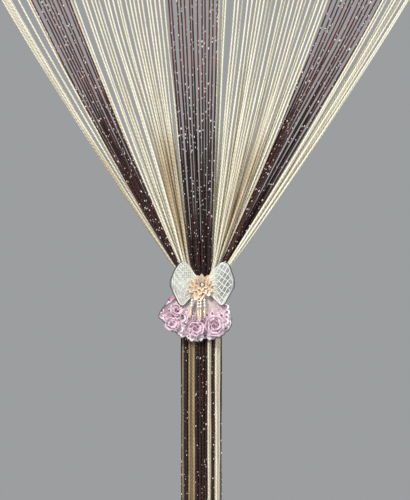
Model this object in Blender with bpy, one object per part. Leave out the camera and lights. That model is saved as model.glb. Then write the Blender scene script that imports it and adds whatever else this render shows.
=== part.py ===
"""String curtain: a hundred loose strings under a rod-pocket heading, drawn in at the waist.

Metres, +Z up. The front faces -Y. The origin is the middle of the heading's top edge, which
is where the curtain hangs. Seven bands of cream and brown strings fan down from the heading,
pass through an elastic tie, and hang below it as one flat bundle. A net bow with a petalled
flower, four bead drops and a gathered lace frill with rolled rosettes is sewn to the tie.
"""

import math
from collections import namedtuple

import bmesh
import bpy
from mathutils import Vector

MM = 0.001
GAP = 0.3 * MM                      # between pieces that touch on the real curtain

# Heading: a woven strip folded over into a sleeve for the rod, its two layers sewn at the foot
WIDTH = 1000 * MM
HEADING_DROP = 60 * MM
HEADING_SEAM = 8 * MM
HEADING_WALL = 1.5 * MM
SLEEVE_DEPTH = 22 * MM
SLEEVE_STEPS = 8                    # facets from the sleeve's foot to its top, on each side
SEAM_ANGLE = -82                    # where the outer oval runs into the sewn foot

# Strings
STRING_CUT = 1940 * MM
STRING_WIDE = 2.2 * MM
STRING_DEEP = 2.0 * MM
ROOT_TOP = -HEADING_DROP - GAP
ROOT_DROP = 3 * MM
STRAY = 1.0 * MM                    # how far a string strays sideways at half height
SAG = 31.5 * MM                     # how far the outermost strings belly out of a straight line

# Tie, and the strings' places in it and below it
TIE_X = -8.6 * MM
TIE_TOP = -900 * MM
TIE_FOOT = -914 * MM
TIE_HALF_WIDE = 24.5 * MM
TIE_HALF_DEEP = 14.0 * MM
TIE_WALL = 1.2 * MM
TIE_MID = (TIE_TOP + TIE_FOOT) / 2
BUNDLE_X = -10.0 * MM
BUNDLE_TOP = -965 * MM
SLOT_PITCH = 3.55 * MM              # from string to string along a layer of the bundle
LAYER_PITCH = 2.9 * MM              # from layer to layer, front to back
LAYERS = 9
TIE_SQUEEZE = 0.9                   # the bundle is this much tighter in the tie
LAYERED_BY = 0.70                   # share of the fan's height by which the layers are apart
SHIFT_FROM = 0.80                   # share of the height where strings turn to their own slots
FAN_LEVELS = (0.30, 0.60, 0.80, 0.90, 0.96, 1.0)
DEAL = (0, 4, 8, 2, 6, 1, 5, 3, 7)  # order in which neighbouring strings take the layers

CREAM = (0.80, 0.74, 0.56, 1.0)
BROWN = (0.045, 0.018, 0.015, 1.0)
IVORY = (0.82, 0.84, 0.78, 1.0)
PEACH = (0.88, 0.66, 0.42, 1.0)
PINK = (0.84, 0.50, 0.62, 1.0)
ROSE = (0.80, 0.42, 0.55, 1.0)
PEARL = (0.86, 0.78, 0.62, 1.0)
CRYSTAL = (0.72, 0.68, 0.86, 1.0)

# A row for each band, left to right: its edges along the heading, its edges in the tie as seen
# from the front, in millimetres, and how many of its strings lie in each layer, front to back
Band = namedtuple("Band", "name colour left right tie_left tie_right layers")
BANDS = (
    Band("strings_cream_edge_left", CREAM, -500, -430, -23.0, -21.5, (0, 0, 0, 1, 0, 2, 2, 2, 2)),
    Band("strings_brown_left", BROWN, -430, -324, -21.5, -19.0, (0, 1, 2, 1, 1, 1, 1, 2, 1)),
    Band("strings_cream_left", CREAM, -324, -87, -19.0, -12.9, (1, 3, 3, 3, 5, 2, 2, 2, 1)),
    Band("strings_brown_middle", BROWN, -87, 24, -12.9, 9.8, (4, 4, 2, 3, 0, 0, 0, 0, 0)),
    Band("strings_cream_right", CREAM, 24, 307, 9.8, 12.6, (1, 1, 2, 3, 5, 4, 4, 3, 3)),
    Band("strings_brown_right", BROWN, 307, 439, 12.6, 17.5, (0, 1, 1, 1, 3, 2, 2, 1, 1)),
    Band("strings_cream_edge_right", CREAM, 439, 500, 17.5, 21.5, (0, 1, 2, 1, 0, 2, 1, 1, 0)),
)
String = namedtuple("String", "band top tie layer slot stray")

# Bow: a row for each section of a wing, from the pinch outwards: distance from the middle,
# lowest and highest edge measured from the tie's middle, and how far the net stands forward
Section = namedtuple("Section", "out low high forward")
BOW_LEFT = (
    Section(0.0, -5.5, 7.5, 17.6),
    Section(5.0, -7.5, 9.5, 17.8),
    Section(11.0, -11.5, 15.5, 19.5),
    Section(17.0, -15.5, 24.0, 24.0),
    Section(22.0, -21.0, 29.0, 27.0),
    Section(27.5, -22.5, 27.5, 28.0),
    Section(32.5, -14.0, 21.5, 26.5),
    Section(36.5, -6.0, 13.5, 24.0),
    Section(38.5, 0.0, 7.0, 22.5),
)
BOW_RIGHT = (
    Section(0.0, -5.5, 7.5, 17.6),
    Section(5.0, -8.0, 9.0, 17.8),
    Section(10.5, -10.5, 15.0, 19.5),
    Section(15.5, -15.5, 21.5, 23.5),
    Section(21.0, -21.0, 26.0, 27.0),
    Section(26.5, -21.5, 28.5, 28.5),
    Section(31.5, -13.0, 26.5, 27.0),
    Section(35.5, -6.5, 17.5, 24.5),
    Section(38.0, -1.5, 9.0, 22.5),
)
BOW_COLUMNS = 15                    # net cells from wing tip to wing tip
BOW_ROWS = 9                        # net cells from a wing's foot to its top
BOW_WALL = 1.0 * MM
BOW_PLEATS = 4
BOW_PLEAT = 0.5                     # how deep the pinched pleats are, in millimetres
BOW_PLEATS_TO = 24                  # how far out the pleats fade away
BOW_CURL = 3.0                      # how far a wing's foot and top curl back
BOW_CURLED_BY = 20                  # how far out the curl is at its full
NET_CORD = 0.65 * MM                # half the net's cord, left round each open cell
NET_FROM = 14 * MM                  # how far out the open cells begin
NET_SMALLEST = 2.9 * MM             # the shortest side of a cell that is cut open

# Flower: a row for each ring of petals: reach of its shortest petals and of the notches between
# them, how far forward its middle lies, how steeply it cups, its turn, and how much longer the
# drooping petals are
PetalRing = namedtuple("PetalRing", "name petals tip notch seat cup turn droop")
FLOWER_X = TIE_X - 0.3 * MM
FLOWER_Z = TIE_MID + 1.8 * MM
FLOWER = (
    PetalRing("flower_outer_petals", 12, 11.8, 6.6, 19.6, 0.42, 0.0, 5.8),
    PetalRing("flower_middle_petals", 9, 9.0, 4.8, 21.15, 0.55, 0.2, 3.4),
    PetalRing("flower_inner_petals", 6, 6.2, 3.4, 22.75, 0.80, 0.5, 1.2),
)
DROOP_WAY = -115                    # where the longest petals point, in degrees
PETAL_WALL = 1.0 * MM
PETAL_SHOULDER = 0.84               # where along its length a petal is widest
PETAL_HUB = 0.6                     # the ring's closed middle, as a share of its notches
STONE_RADIUS = 2.0 * MM
STONE_BACK = 0.9 * MM               # radius of the stone's flat back
STONE_TABLE = 1.26 * MM             # and of its front
STONE_DEPTH = 2.4 * MM
STONE_GIRDLE = 0.5                  # how far forward the stone is widest
STONE_SEAT = 0.65                   # how much of a petal's wall the stone stands clear of

# Bead drops: a row for each: its foot's place across, its length, and its slant to the right
Drop = namedtuple("Drop", "across length slant")
DROPS = (Drop(-15.4, 30.0, -3.8), Drop(-6.2, 33.0, -0.6), Drop(-1.6, 32.0, 0.5), Drop(3.6, 30.0, 1.4))
DROP_TOP = TIE_MID - 10 * MM
DROP_CLEAR = 1.55 * MM              # from the middle of the petals' wall to a drop's head behind it
DROP_FOOT_DEPTH = 33.0 * MM
DROP_SIDES = 6
# A row for each turn of a drop's outline: share of its length from the top, and its radius
DROP_PROFILE = ((0.0, 0.5), (0.19, 0.5), (0.22, 1.2), (0.27, 1.2), (0.30, 0.5), (0.33, 1.2), (0.38, 1.2),
                (0.41, 0.5), (0.44, 1.2), (0.49, 1.2), (0.52, 0.5), (0.55, 1.1), (0.96, 1.1), (1.0, 0.6))

# Frill: a row for each ray from the tie: angle from straight down, reach, and forward bulge
Ray = namedtuple("Ray", "angle reach bulge")
FRILL = (
    Ray(-72, 40, 1.0), Ray(-64, 55, 5.0), Ray(-57, 63, 0.5), Ray(-50, 62, 5.5), Ray(-43, 61, 1.5),
    Ray(-36, 63, 7.0), Ray(-29, 63, 3.0), Ray(-23, 65, 7.5), Ray(-17, 63, 1.5), Ray(-12, 66, 6.5),
    Ray(-6, 65, 2.5), Ray(-1, 64, 6.5), Ray(3, 61, 0.5), Ray(8, 64, 6.5), Ray(14, 63, 4.0),
    Ray(20, 63, 7.5), Ray(26, 61, 3.0), Ray(33, 59, 7.0), Ray(39, 55, 1.5), Ray(46, 47, 4.5),
    Ray(54, 36, 0.5),
)
FRILL_STEPS = 5
FRILL_WALL = 1.2 * MM
FRILL_SEAT = TIE_HALF_DEEP + TIE_WALL + GAP
FRILL_HEAD = TIE_MID - 1.0 * MM
FRILL_HEAD_REACH = 4.0 * MM
FRILL_HEAD_HALF = 14 * MM
FRILL_GATHER = 0.32                 # how much narrower than its rays the frill is at its head
FRILL_SPREAD_BY = 0.45              # share of the rays by which the frill has opened to them
FRILL_FULL_BY = 0.77                # share of the rays by which the flutes are at their full

# Rosettes: a row for each: place across, place below the tie's middle, radius, turns, and how
# far forward its back lies, on the flutes of the frill
Rosette = namedtuple("Rosette", "name across down radius turns back")
ROSETTES = (
    Rosette("rosette_top_left", -30.5, 28.0, 7.0, 1.8, 23.4),
    Rosette("rosette_left", -37.0, 44.0, 8.5, 2.2, 24.0),
    Rosette("rosette_middle", -8.5, 50.0, 10.0, 2.4, 23.6),
    Rosette("rosette_right", 14.5, 46.5, 12.5, 2.9, 24.6),
)
ROSETTE_CORE = 1.0 * MM
ROSETTE_WALL = 1.2 * MM
ROSETTE_DEPTH = 6.0 * MM
ROSETTE_STEPS = 12                  # to a turn
ROSETTE_FLARE = 0.10                # how much a rosette opens towards its front rim


def clear_scene():
    """Take every object out of the scene."""
    for item in list(bpy.data.objects):
        bpy.data.objects.remove(item, do_unlink=True)


def material(name, colour, roughness, metallic=0.0):
    """A Principled finish, made once for each name."""
    finish = bpy.data.materials.get(name) or bpy.data.materials.new(name)
    finish.use_nodes = True
    shader = finish.node_tree.nodes["Principled BSDF"]
    shader.inputs["Base Color"].default_value = colour
    shader.inputs["Roughness"].default_value = roughness
    shader.inputs["Metallic"].default_value = metallic
    finish.diffuse_color = colour
    return finish


def add_piece(name, bm, finish, smooth_angle=None):
    """Turn a bmesh into a named object with one finish."""
    bmesh.ops.recalc_face_normals(bm, faces=bm.faces)
    mesh = bpy.data.meshes.new(name)
    bm.to_mesh(mesh)
    bm.free()
    mesh.materials.append(finish)
    if smooth_angle is not None:
        mesh.shade_smooth()
        mesh.set_sharp_from_angle(angle=math.radians(smooth_angle))
    piece = bpy.data.objects.new(name, mesh)
    bpy.context.scene.collection.objects.link(piece)
    return piece


def thicken(piece, thickness, offset=0.0):
    """Give a sheet its thickness; offset 1 grows it to the side its faces look to."""
    wall = piece.modifiers.new("Wall", 'SOLIDIFY')
    wall.thickness = thickness
    wall.offset = offset
    return wall


def draw_out(bm, face, stations, keep_start=False):
    """Draw a face along stations of (centre, scale), keeping its own shape at each."""
    if keep_start:
        made = bmesh.ops.extrude_face_region(bm, geom=[face], use_keep_orig=True)["geom"]
        cap = next(item for item in made if isinstance(item, bmesh.types.BMFace))
    middle = face.calc_center_median()
    for number, (centre, scale) in enumerate(stations):
        if number or not keep_start:
            cap = bmesh.ops.extrude_discrete_faces(bm, faces=[face])["faces"][0]
        if not number:
            corners = [corner.co - middle for corner in cap.verts]
        for vert, corner in zip(cap.verts, corners):
            vert.co = centre + corner * scale
        face = cap


def smooth(share):
    """Rise from 0 to 1 with a soft start and end."""
    share = min(max(share, 0.0), 1.0)
    return share * share * (3 - 2 * share)


def dealt_layers(shares):
    """The layer of each string of a band: every layer's strings are spread evenly across it."""
    places = sorted(((turn + 0.5) / share, DEAL.index(layer), layer)
                    for layer, share in enumerate(shares) for turn in range(share))
    return [layer for _, _, layer in places]


def lay_out_strings():
    """Every string, left to right, with its place on the heading, in the tie and in its layer."""
    in_layer = [sum(band.layers[layer] for band in BANDS) for layer in range(LAYERS)]
    used = [0] * LAYERS
    strings = []
    for band in BANDS:
        layers = dealt_layers(band.layers)
        for place, layer in enumerate(layers):
            share = (place + 0.5) / len(layers)
            count = len(strings)
            strings.append(String(
                band=band.name,
                top=(band.left + (band.right - band.left) * share) * MM,
                tie=TIE_X + (band.tie_left + (band.tie_right - band.tie_left) * share) * MM,
                layer=layer - (LAYERS - 1) / 2,
                slot=used[layer] - (in_layer[layer] - 1) / 2,
                stray=STRAY * math.sin(2.4 * count * count),
            ))
            used[layer] += 1
    return strings


def fan_point(string, share):
    """Where a string passes at a share of the way down from the heading to the tie."""
    height = ROOT_TOP - ROOT_DROP + (TIE_TOP - ROOT_TOP + ROOT_DROP) * share
    bow = 4 * share * (1 - share)
    slot_x = TIE_X + string.slot * SLOT_PITCH * TIE_SQUEEZE
    across = string.top + (string.tie - string.top) * share
    across += bow * (SAG * (string.top - TIE_X) / (WIDTH / 2) + string.stray)
    across += (slot_x - string.tie) * smooth((share - SHIFT_FROM) / (1 - SHIFT_FROM))
    depth = string.layer * LAYER_PITCH * TIE_SQUEEZE * smooth(share / LAYERED_BY)
    return Vector((across, depth, height))


def string_path(string):
    """A string's points from its root to its end; every string is cut to the same length."""
    points = [fan_point(string, 0.0)]
    points += [fan_point(string, share) for share in FAN_LEVELS]
    points.append(Vector((points[-1].x, points[-1].y, TIE_FOOT)))
    bundle = Vector((BUNDLE_X + string.slot * SLOT_PITCH, string.layer * LAYER_PITCH, BUNDLE_TOP))
    points.append(bundle)
    used = sum((after - before).length for before, after in zip(points, points[1:]))
    points.append(bundle - Vector((0, 0, STRING_CUT - ROOT_DROP - used)))
    return points


def build_string_band(band, strings):
    """A band's strings, fused to a narrow strip that lies just under the heading."""
    edges = [band.left * MM + GAP]
    for string in strings:
        edges += [string.top - STRING_WIDE / 2, string.top + STRING_WIDE / 2]
    edges.append(band.right * MM - GAP)
    bm = bmesh.new()
    bmesh.ops.create_grid(bm, x_segments=len(edges) - 1, y_segments=1, size=0.5)
    for vert in bm.verts:
        column = round((vert.co.x + 0.5) * (len(edges) - 1))
        vert.co = Vector((edges[column], math.copysign(STRING_DEEP / 2, vert.co.y), ROOT_TOP - ROOT_DROP))
    foot = sorted(bm.faces, key=lambda face: face.calc_center_median().x)
    roots = foot[1::2]
    top = bmesh.ops.extrude_face_region(bm, geom=list(bm.faces), use_keep_orig=True)["geom"]
    bmesh.ops.translate(bm, verts=[v for v in top if isinstance(v, bmesh.types.BMVert)],
                        vec=(0, 0, ROOT_DROP))
    for root, string in zip(roots, strings):
        draw_out(bm, root, [(point, 1.0) for point in string_path(string)[1:]])
    return add_piece(band.name, bm, material(band.name.rsplit("_", 1)[0], band.colour, 0.75))


def sleeve_outline(half_deep, half_high, lowest):
    """Half of an oval, as (depth, height) from its foot up to its top."""
    angles = [math.radians(lowest + (90 - lowest) * step / SLEEVE_STEPS) for step in range(SLEEVE_STEPS + 1)]
    middle = -(HEADING_DROP - HEADING_SEAM) / 2
    return [(half_deep * max(0.0, math.cos(angle)), middle + half_high * math.sin(angle)) for angle in angles]


def build_heading():
    """The sleeve: one strip folded round the rod's space, its two layers sewn together at the foot."""
    half_deep = SLEEVE_DEPTH / 2
    half_high = (HEADING_DROP - HEADING_SEAM) / 2
    outer = [(HEADING_WALL, -HEADING_DROP)] + sleeve_outline(half_deep, half_high, SEAM_ANGLE)
    inner = sleeve_outline(half_deep - HEADING_WALL, half_high - HEADING_WALL, -90)
    bm = bmesh.new()
    rings = []
    for half in (outer, inner):
        back = [place for place in reversed(half) if place[0] > MM / 100]
        outline = [(-depth, height) for depth, height in half] + back
        verts = [bm.verts.new((-WIDTH / 2, depth, height)) for depth, height in outline]
        rings += [bm.edges.new(pair) for pair in zip(verts, verts[1:] + verts[:1])]
    bmesh.ops.triangle_fill(bm, edges=rings, use_beauty=True, use_dissolve=False)
    far = bmesh.ops.extrude_face_region(bm, geom=list(bm.faces), use_keep_orig=True)["geom"]
    bmesh.ops.translate(bm, verts=[v for v in far if isinstance(v, bmesh.types.BMVert)], vec=(WIDTH, 0, 0))
    return add_piece("heading_sleeve", bm, material("heading", CREAM, 0.8), smooth_angle=30)


def build_tie():
    """The elastic band round the strings, an oval ring."""
    bm = bmesh.new()
    ring = bmesh.ops.create_circle(bm, segments=36, radius=1.0)["verts"]
    for vert in ring:
        vert.co = Vector((TIE_X + vert.co.x * TIE_HALF_WIDE, vert.co.y * TIE_HALF_DEEP, TIE_FOOT))
    wall = bmesh.ops.extrude_edge_only(bm, edges=list(bm.edges))["geom"]
    bmesh.ops.translate(bm, verts=[v for v in wall if isinstance(v, bmesh.types.BMVert)],
                        vec=(0, 0, TIE_TOP - TIE_FOOT))
    piece = add_piece("tie_band", bm, material("ribbon", IVORY, 0.6), smooth_angle=40)
    thicken(piece, TIE_WALL, offset=1.0)
    return piece


def bow_section(out, wing):
    """A wing's lowest and highest edge and its forward place at any distance from the middle."""
    for near, far in zip(wing, wing[1:]):
        if out <= far.out:
            break
    share = min(1.0, (out - near.out) / (far.out - near.out))
    return [a + (b - a) * share for a, b in zip(near[1:], far[1:])]


def build_bow():
    """Both wings as one pinched piece of diamond net, with its larger gaps cut through."""
    left, right = BOW_LEFT[-1].out, BOW_RIGHT[-1].out
    bm = bmesh.new()
    bmesh.ops.create_grid(bm, x_segments=BOW_COLUMNS, y_segments=BOW_ROWS, size=0.5)
    straight = [edge for edge in bm.edges if not edge.is_boundary]
    bmesh.ops.poke(bm, faces=list(bm.faces))
    bmesh.ops.dissolve_edges(bm, edges=straight, use_verts=False)
    for vert in bm.verts:
        share = vert.co.y + 0.5
        across = -left + (left + right) * (vert.co.x + 0.5)
        out = abs(across)
        low, high, forward = bow_section(out, BOW_LEFT if across < 0 else BOW_RIGHT)
        pleat = BOW_PLEAT * math.cos(math.tau * BOW_PLEATS * share) * smooth(1 - out / BOW_PLEATS_TO)
        curl = BOW_CURL * (2 * share - 1) ** 2 * smooth(out / BOW_CURLED_BY)
        vert.co = Vector((TIE_X + across * MM, (-forward - pleat + curl) * MM,
                          TIE_MID + (low + (high - low) * share) * MM))
    cells = [face for face in bm.faces
             if len(face.verts) == 4 and abs(face.calc_center_median().x - TIE_X) > NET_FROM
             and min(edge.calc_length() for edge in face.edges) > NET_SMALLEST]
    bm.normal_update()
    bmesh.ops.inset_individual(bm, faces=cells, thickness=NET_CORD, use_even_offset=True)
    bmesh.ops.delete(bm, geom=cells, context='FACES')
    piece = add_piece("lace_bow", bm, material("net", IVORY, 0.7))
    thicken(piece, BOW_WALL)
    return piece


def build_petal_ring(row):
    """One ring of pointed petals as a cupped sheet, its lower petals the longest."""
    steps = row.petals * len(("notch", "shoulder", "tip", "shoulder"))
    shoulder = row.tip * PETAL_SHOULDER
    reaches = (row.notch, shoulder, row.tip, shoulder)
    bm = bmesh.new()
    hub = row.notch * PETAL_HUB
    bmesh.ops.create_circle(bm, cap_ends=True, cap_tris=True, segments=steps, radius=hub)
    rim = [edge for edge in bm.edges if edge.is_boundary]
    bmesh.ops.extrude_edge_only(bm, edges=rim)
    for vert in bm.verts:
        angle = math.atan2(vert.co.y, vert.co.x)
        step = round(angle / math.tau * steps) % steps
        reach = vert.co.length
        if reach > hub / 2 and any(edge.is_boundary for edge in vert.link_edges):
            reach = reaches[step % 4]
            droop = max(0.0, math.cos(angle + row.turn - math.radians(DROOP_WAY)))
            reach *= 1 + row.droop / row.tip * droop
        angle += row.turn
        vert.co = Vector((FLOWER_X + math.cos(angle) * reach * MM, -(row.seat + row.cup * reach) * MM,
                          FLOWER_Z + math.sin(angle) * reach * MM))
    piece = add_piece(row.name, bm, material("petals", PEACH, 0.55))
    thicken(piece, PETAL_WALL)
    return piece


def build_stone():
    """The faceted stone at the flower's heart, its table to the front."""
    heart = FLOWER[-1]
    seat = heart.seat * MM + heart.cup * STONE_BACK + STONE_SEAT * PETAL_WALL + GAP
    bm = bmesh.new()
    back = bmesh.ops.create_circle(bm, cap_ends=True, segments=8, radius=STONE_BACK)["verts"]
    turn_to_front(back, Vector((FLOWER_X, -seat, FLOWER_Z)))
    middle = Vector((FLOWER_X, 0, FLOWER_Z))
    bm.faces.ensure_lookup_table()
    draw_out(bm, bm.faces[0], [
        (middle - Vector((0, seat + STONE_DEPTH * STONE_GIRDLE, 0)), STONE_RADIUS / STONE_BACK),
        (middle - Vector((0, seat + STONE_DEPTH, 0)), STONE_TABLE / STONE_BACK),
    ], keep_start=True)
    return add_piece("flower_stone", bm, material("stone", CRYSTAL, 0.05))


def turn_to_front(verts, centre):
    """Stand a flat shape up so that it faces -Y, and put it in its place."""
    for vert in verts:
        vert.co = centre + Vector((vert.co.x, vert.co.z, vert.co.y))


def build_drop(number, drop):
    """A thread with three pearls and a long bead, sewn on behind the flower's outer petals."""
    petals = FLOWER[0]
    across = TIE_X + (drop.across - drop.slant) * MM
    reach = math.hypot(across - FLOWER_X, DROP_TOP - FLOWER_Z)
    head = Vector((across, -(petals.seat * MM + petals.cup * reach - DROP_CLEAR), DROP_TOP))
    foot = Vector((TIE_X + drop.across * MM, -DROP_FOOT_DEPTH, DROP_TOP - drop.length * MM))
    bm = bmesh.new()
    bmesh.ops.create_circle(bm, cap_ends=True, segments=DROP_SIDES, radius=DROP_PROFILE[0][1] * MM)
    bmesh.ops.translate(bm, verts=bm.verts[:], vec=head)
    stations = [(head.lerp(foot, share), radius / DROP_PROFILE[0][1]) for share, radius in DROP_PROFILE[1:]]
    bm.faces.ensure_lookup_table()
    draw_out(bm, bm.faces[0], stations, keep_start=True)
    return add_piece("bead_drop_%d" % number, bm, material("beads", PEARL, 0.3), smooth_angle=50)


def build_frill():
    """The gathered lace frill: flutes that open from the tie to three uneven lobes."""
    bm = bmesh.new()
    bmesh.ops.create_grid(bm, x_segments=len(FRILL) - 1, y_segments=FRILL_STEPS, size=0.5)
    for vert in bm.verts:
        ray = FRILL[round((vert.co.x + 0.5) * (len(FRILL) - 1))]
        share = 0.5 - vert.co.y
        angle = math.radians(ray.angle) * (FRILL_GATHER + (1 - FRILL_GATHER) * smooth(share / FRILL_SPREAD_BY))
        reach = FRILL_HEAD_REACH + (ray.reach * MM - FRILL_HEAD_REACH) * share
        across = math.sin(angle) * reach + FRILL_HEAD_HALF * (ray.angle / -FRILL[0].angle) * (1 - share)
        oval = math.sqrt(max(0.0, 1 - (across / (TIE_HALF_WIDE + TIE_WALL)) ** 2))
        seat = FRILL_SEAT * (oval if share == 0 else 1.0)
        forward = seat + FRILL_WALL / 2 + ray.bulge * MM * smooth(share / FRILL_FULL_BY)
        vert.co = Vector((TIE_X + across, -forward, FRILL_HEAD - math.cos(angle) * reach))
    piece = add_piece("lace_frill", bm, material("lace", PINK, 0.7))
    thicken(piece, FRILL_WALL)
    return piece


def build_rosette(row):
    """A strip of lace rolled on edge into a flat spiral that faces the front."""
    steps = round(row.turns * ROSETTE_STEPS)
    centre = Vector((TIE_X + row.across * MM, -row.back * MM, TIE_MID - row.down * MM))
    bm = bmesh.new()
    inner = bm.verts.new(centre + Vector((ROSETTE_CORE, 0, 0)))
    outer = bm.verts.new(centre + Vector((ROSETTE_CORE + ROSETTE_WALL, 0, 0)))
    rung = bm.edges.new((inner, outer))
    for step in range(1, steps + 1):
        angle = step / ROSETTE_STEPS * math.tau
        radius = ROSETTE_CORE + (row.radius * MM - ROSETTE_WALL - ROSETTE_CORE) * step / steps
        place = Vector((math.cos(angle), 0, math.sin(angle)))
        before = set(rung.verts)
        made = bmesh.ops.extrude_edge_only(bm, edges=[rung])["geom"]
        rung = next(e for e in made if isinstance(e, bmesh.types.BMEdge) and not before & set(e.verts))
        near, far = sorted(rung.verts, key=lambda vert: (vert.co - centre).length)
        near.co = centre + place * radius
        far.co = centre + place * (radius + ROSETTE_WALL)
    front = bmesh.ops.extrude_face_region(bm, geom=list(bm.faces), use_keep_orig=True)["geom"]
    for vert in [v for v in front if isinstance(v, bmesh.types.BMVert)]:
        out = vert.co - centre
        swell = 1 + ROSETTE_FLARE * out.length / (row.radius * MM)
        vert.co = centre + Vector((out.x * swell, -ROSETTE_DEPTH, out.z * swell))
    return add_piece(row.name, bm, material("rosette", ROSE, 0.6), smooth_angle=60)


def build_curtain():
    """Build every piece of the curtain in the order a maker would."""
    build_heading()
    strings = lay_out_strings()
    for band in BANDS:
        build_string_band(band, [string for string in strings if string.band == band.name])
    build_tie()
    build_frill()
    for row in ROSETTES:
        build_rosette(row)
    build_bow()
    for row in FLOWER:
        build_petal_ring(row)
    build_stone()
    for number, drop in enumerate(DROPS, start=1):
        build_drop(number, drop)


clear_scene()
build_curtain()
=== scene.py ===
"""String curtain with a lace tie: twisted strings, sewn heading, net bow, flower, drops and frill.

Metres, +Z up. The front faces -Y, and the origin is the middle of the heading's top edge.
"""

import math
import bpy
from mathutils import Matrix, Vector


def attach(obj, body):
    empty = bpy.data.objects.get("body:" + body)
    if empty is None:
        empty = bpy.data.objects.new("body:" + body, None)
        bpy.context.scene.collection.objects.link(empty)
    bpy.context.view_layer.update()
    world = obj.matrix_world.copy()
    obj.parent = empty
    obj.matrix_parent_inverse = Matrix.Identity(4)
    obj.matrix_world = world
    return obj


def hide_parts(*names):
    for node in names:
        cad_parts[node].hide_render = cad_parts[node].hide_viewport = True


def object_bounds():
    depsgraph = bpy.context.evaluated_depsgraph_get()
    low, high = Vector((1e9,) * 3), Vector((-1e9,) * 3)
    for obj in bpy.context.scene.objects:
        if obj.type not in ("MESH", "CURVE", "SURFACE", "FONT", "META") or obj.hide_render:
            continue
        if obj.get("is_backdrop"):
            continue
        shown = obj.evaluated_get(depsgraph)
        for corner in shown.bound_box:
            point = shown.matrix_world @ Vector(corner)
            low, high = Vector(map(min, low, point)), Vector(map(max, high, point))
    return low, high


bl_info = {
    "name": "String Curtain",
    "version": (1, 0, 0),
    "blender": (4, 5, 0),
    "location": "View3D > Sidebar > Curtain",
    "description": "Strings, heading, lace bow, flower, bead drops and frill of a tied string curtain",
    "category": "Object",
}

from collections import namedtuple

import bmesh
import bpy
import numpy as np
from bpy.props import FloatProperty, FloatVectorProperty, PointerProperty
from mathutils import Vector

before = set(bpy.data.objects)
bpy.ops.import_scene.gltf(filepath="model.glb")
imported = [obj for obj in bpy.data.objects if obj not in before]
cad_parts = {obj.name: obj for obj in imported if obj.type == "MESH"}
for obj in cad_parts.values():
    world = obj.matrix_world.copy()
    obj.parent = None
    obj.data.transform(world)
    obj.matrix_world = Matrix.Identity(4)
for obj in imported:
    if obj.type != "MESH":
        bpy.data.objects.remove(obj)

MM = 0.001
BODY = "root"
FRONT = np.array((0.0, -1.0, 0.0))

# Heading
WIDTH = 1000 * MM
HEADING_DROP = 60 * MM
HEADING_SEAM = 8 * MM
SLEEVE_DEPTH = 22 * MM
HEADING_WALL = 1.5 * MM

# Strings, as the solids have them
STRING_CUT = 1940 * MM
ROOT_TOP = -HEADING_DROP - 0.3 * MM
ROOT_DROP = 3 * MM
STRAY = 1.0 * MM
SAG = 31.5 * MM
TIE_X = -8.6 * MM
TIE_TOP = -900 * MM
TIE_FOOT = -914 * MM
TIE_MID = (TIE_TOP + TIE_FOOT) / 2
TIE_HALF_WIDE = 24.5 * MM
TIE_HALF_DEEP = 14.0 * MM
TIE_WALL = 1.2 * MM
BUNDLE_X = -10.0 * MM
BUNDLE_TOP = -965 * MM
SLOT_PITCH = 3.55 * MM
LAYER_PITCH = 2.9 * MM
LAYERS = 9
TIE_SQUEEZE = 0.9
LAYERED_BY = 0.70
SHIFT_FROM = 0.975
LET_GO = (0.92, 1.0)
FULLER = (-550 * MM, -850 * MM)
DARK_SWELL = 0.45
CREAM_SWELL = 0.22
EARLY = (0.30, 0.60)
DEAL = (0, 4, 8, 2, 6, 1, 5, 3, 7)
STRING_PHASE = 2.4
# Heights in millimetres between which a change in the strings' colour or flecks sets in; the colour changes
# are painted shade where the strings crowd together towards the tie and below it
TAN_CROWDS = (-700, -770)
TAN_NEARS = (-840, -890)
TAN_DEEPENS = (-914, -944)
DARK_CROWDS = (-600, -750)
DARK_DEEPENS = (-880, -940)
FLECKS_THIN = (-880, -1000)
FLECKS_THIN_MIDDLE = (-740, -860)
FLECK_SKIPPED = 0.2
FLECK_SIZE = (1.7 * MM, 0.95 * MM, 0.4 * MM)

# A row for each wave in a hanging string: its axis, its length in millimetres, how fast its phase runs
# from string to string, and its share of the wander
Wave = namedtuple("Wave", "axis length phase share")
WAVES = (Wave(0, 61, 1.0, 1.0), Wave(0, 23, 3.0, 0.6), Wave(1, 47, 1.7, 1.0))

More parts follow.
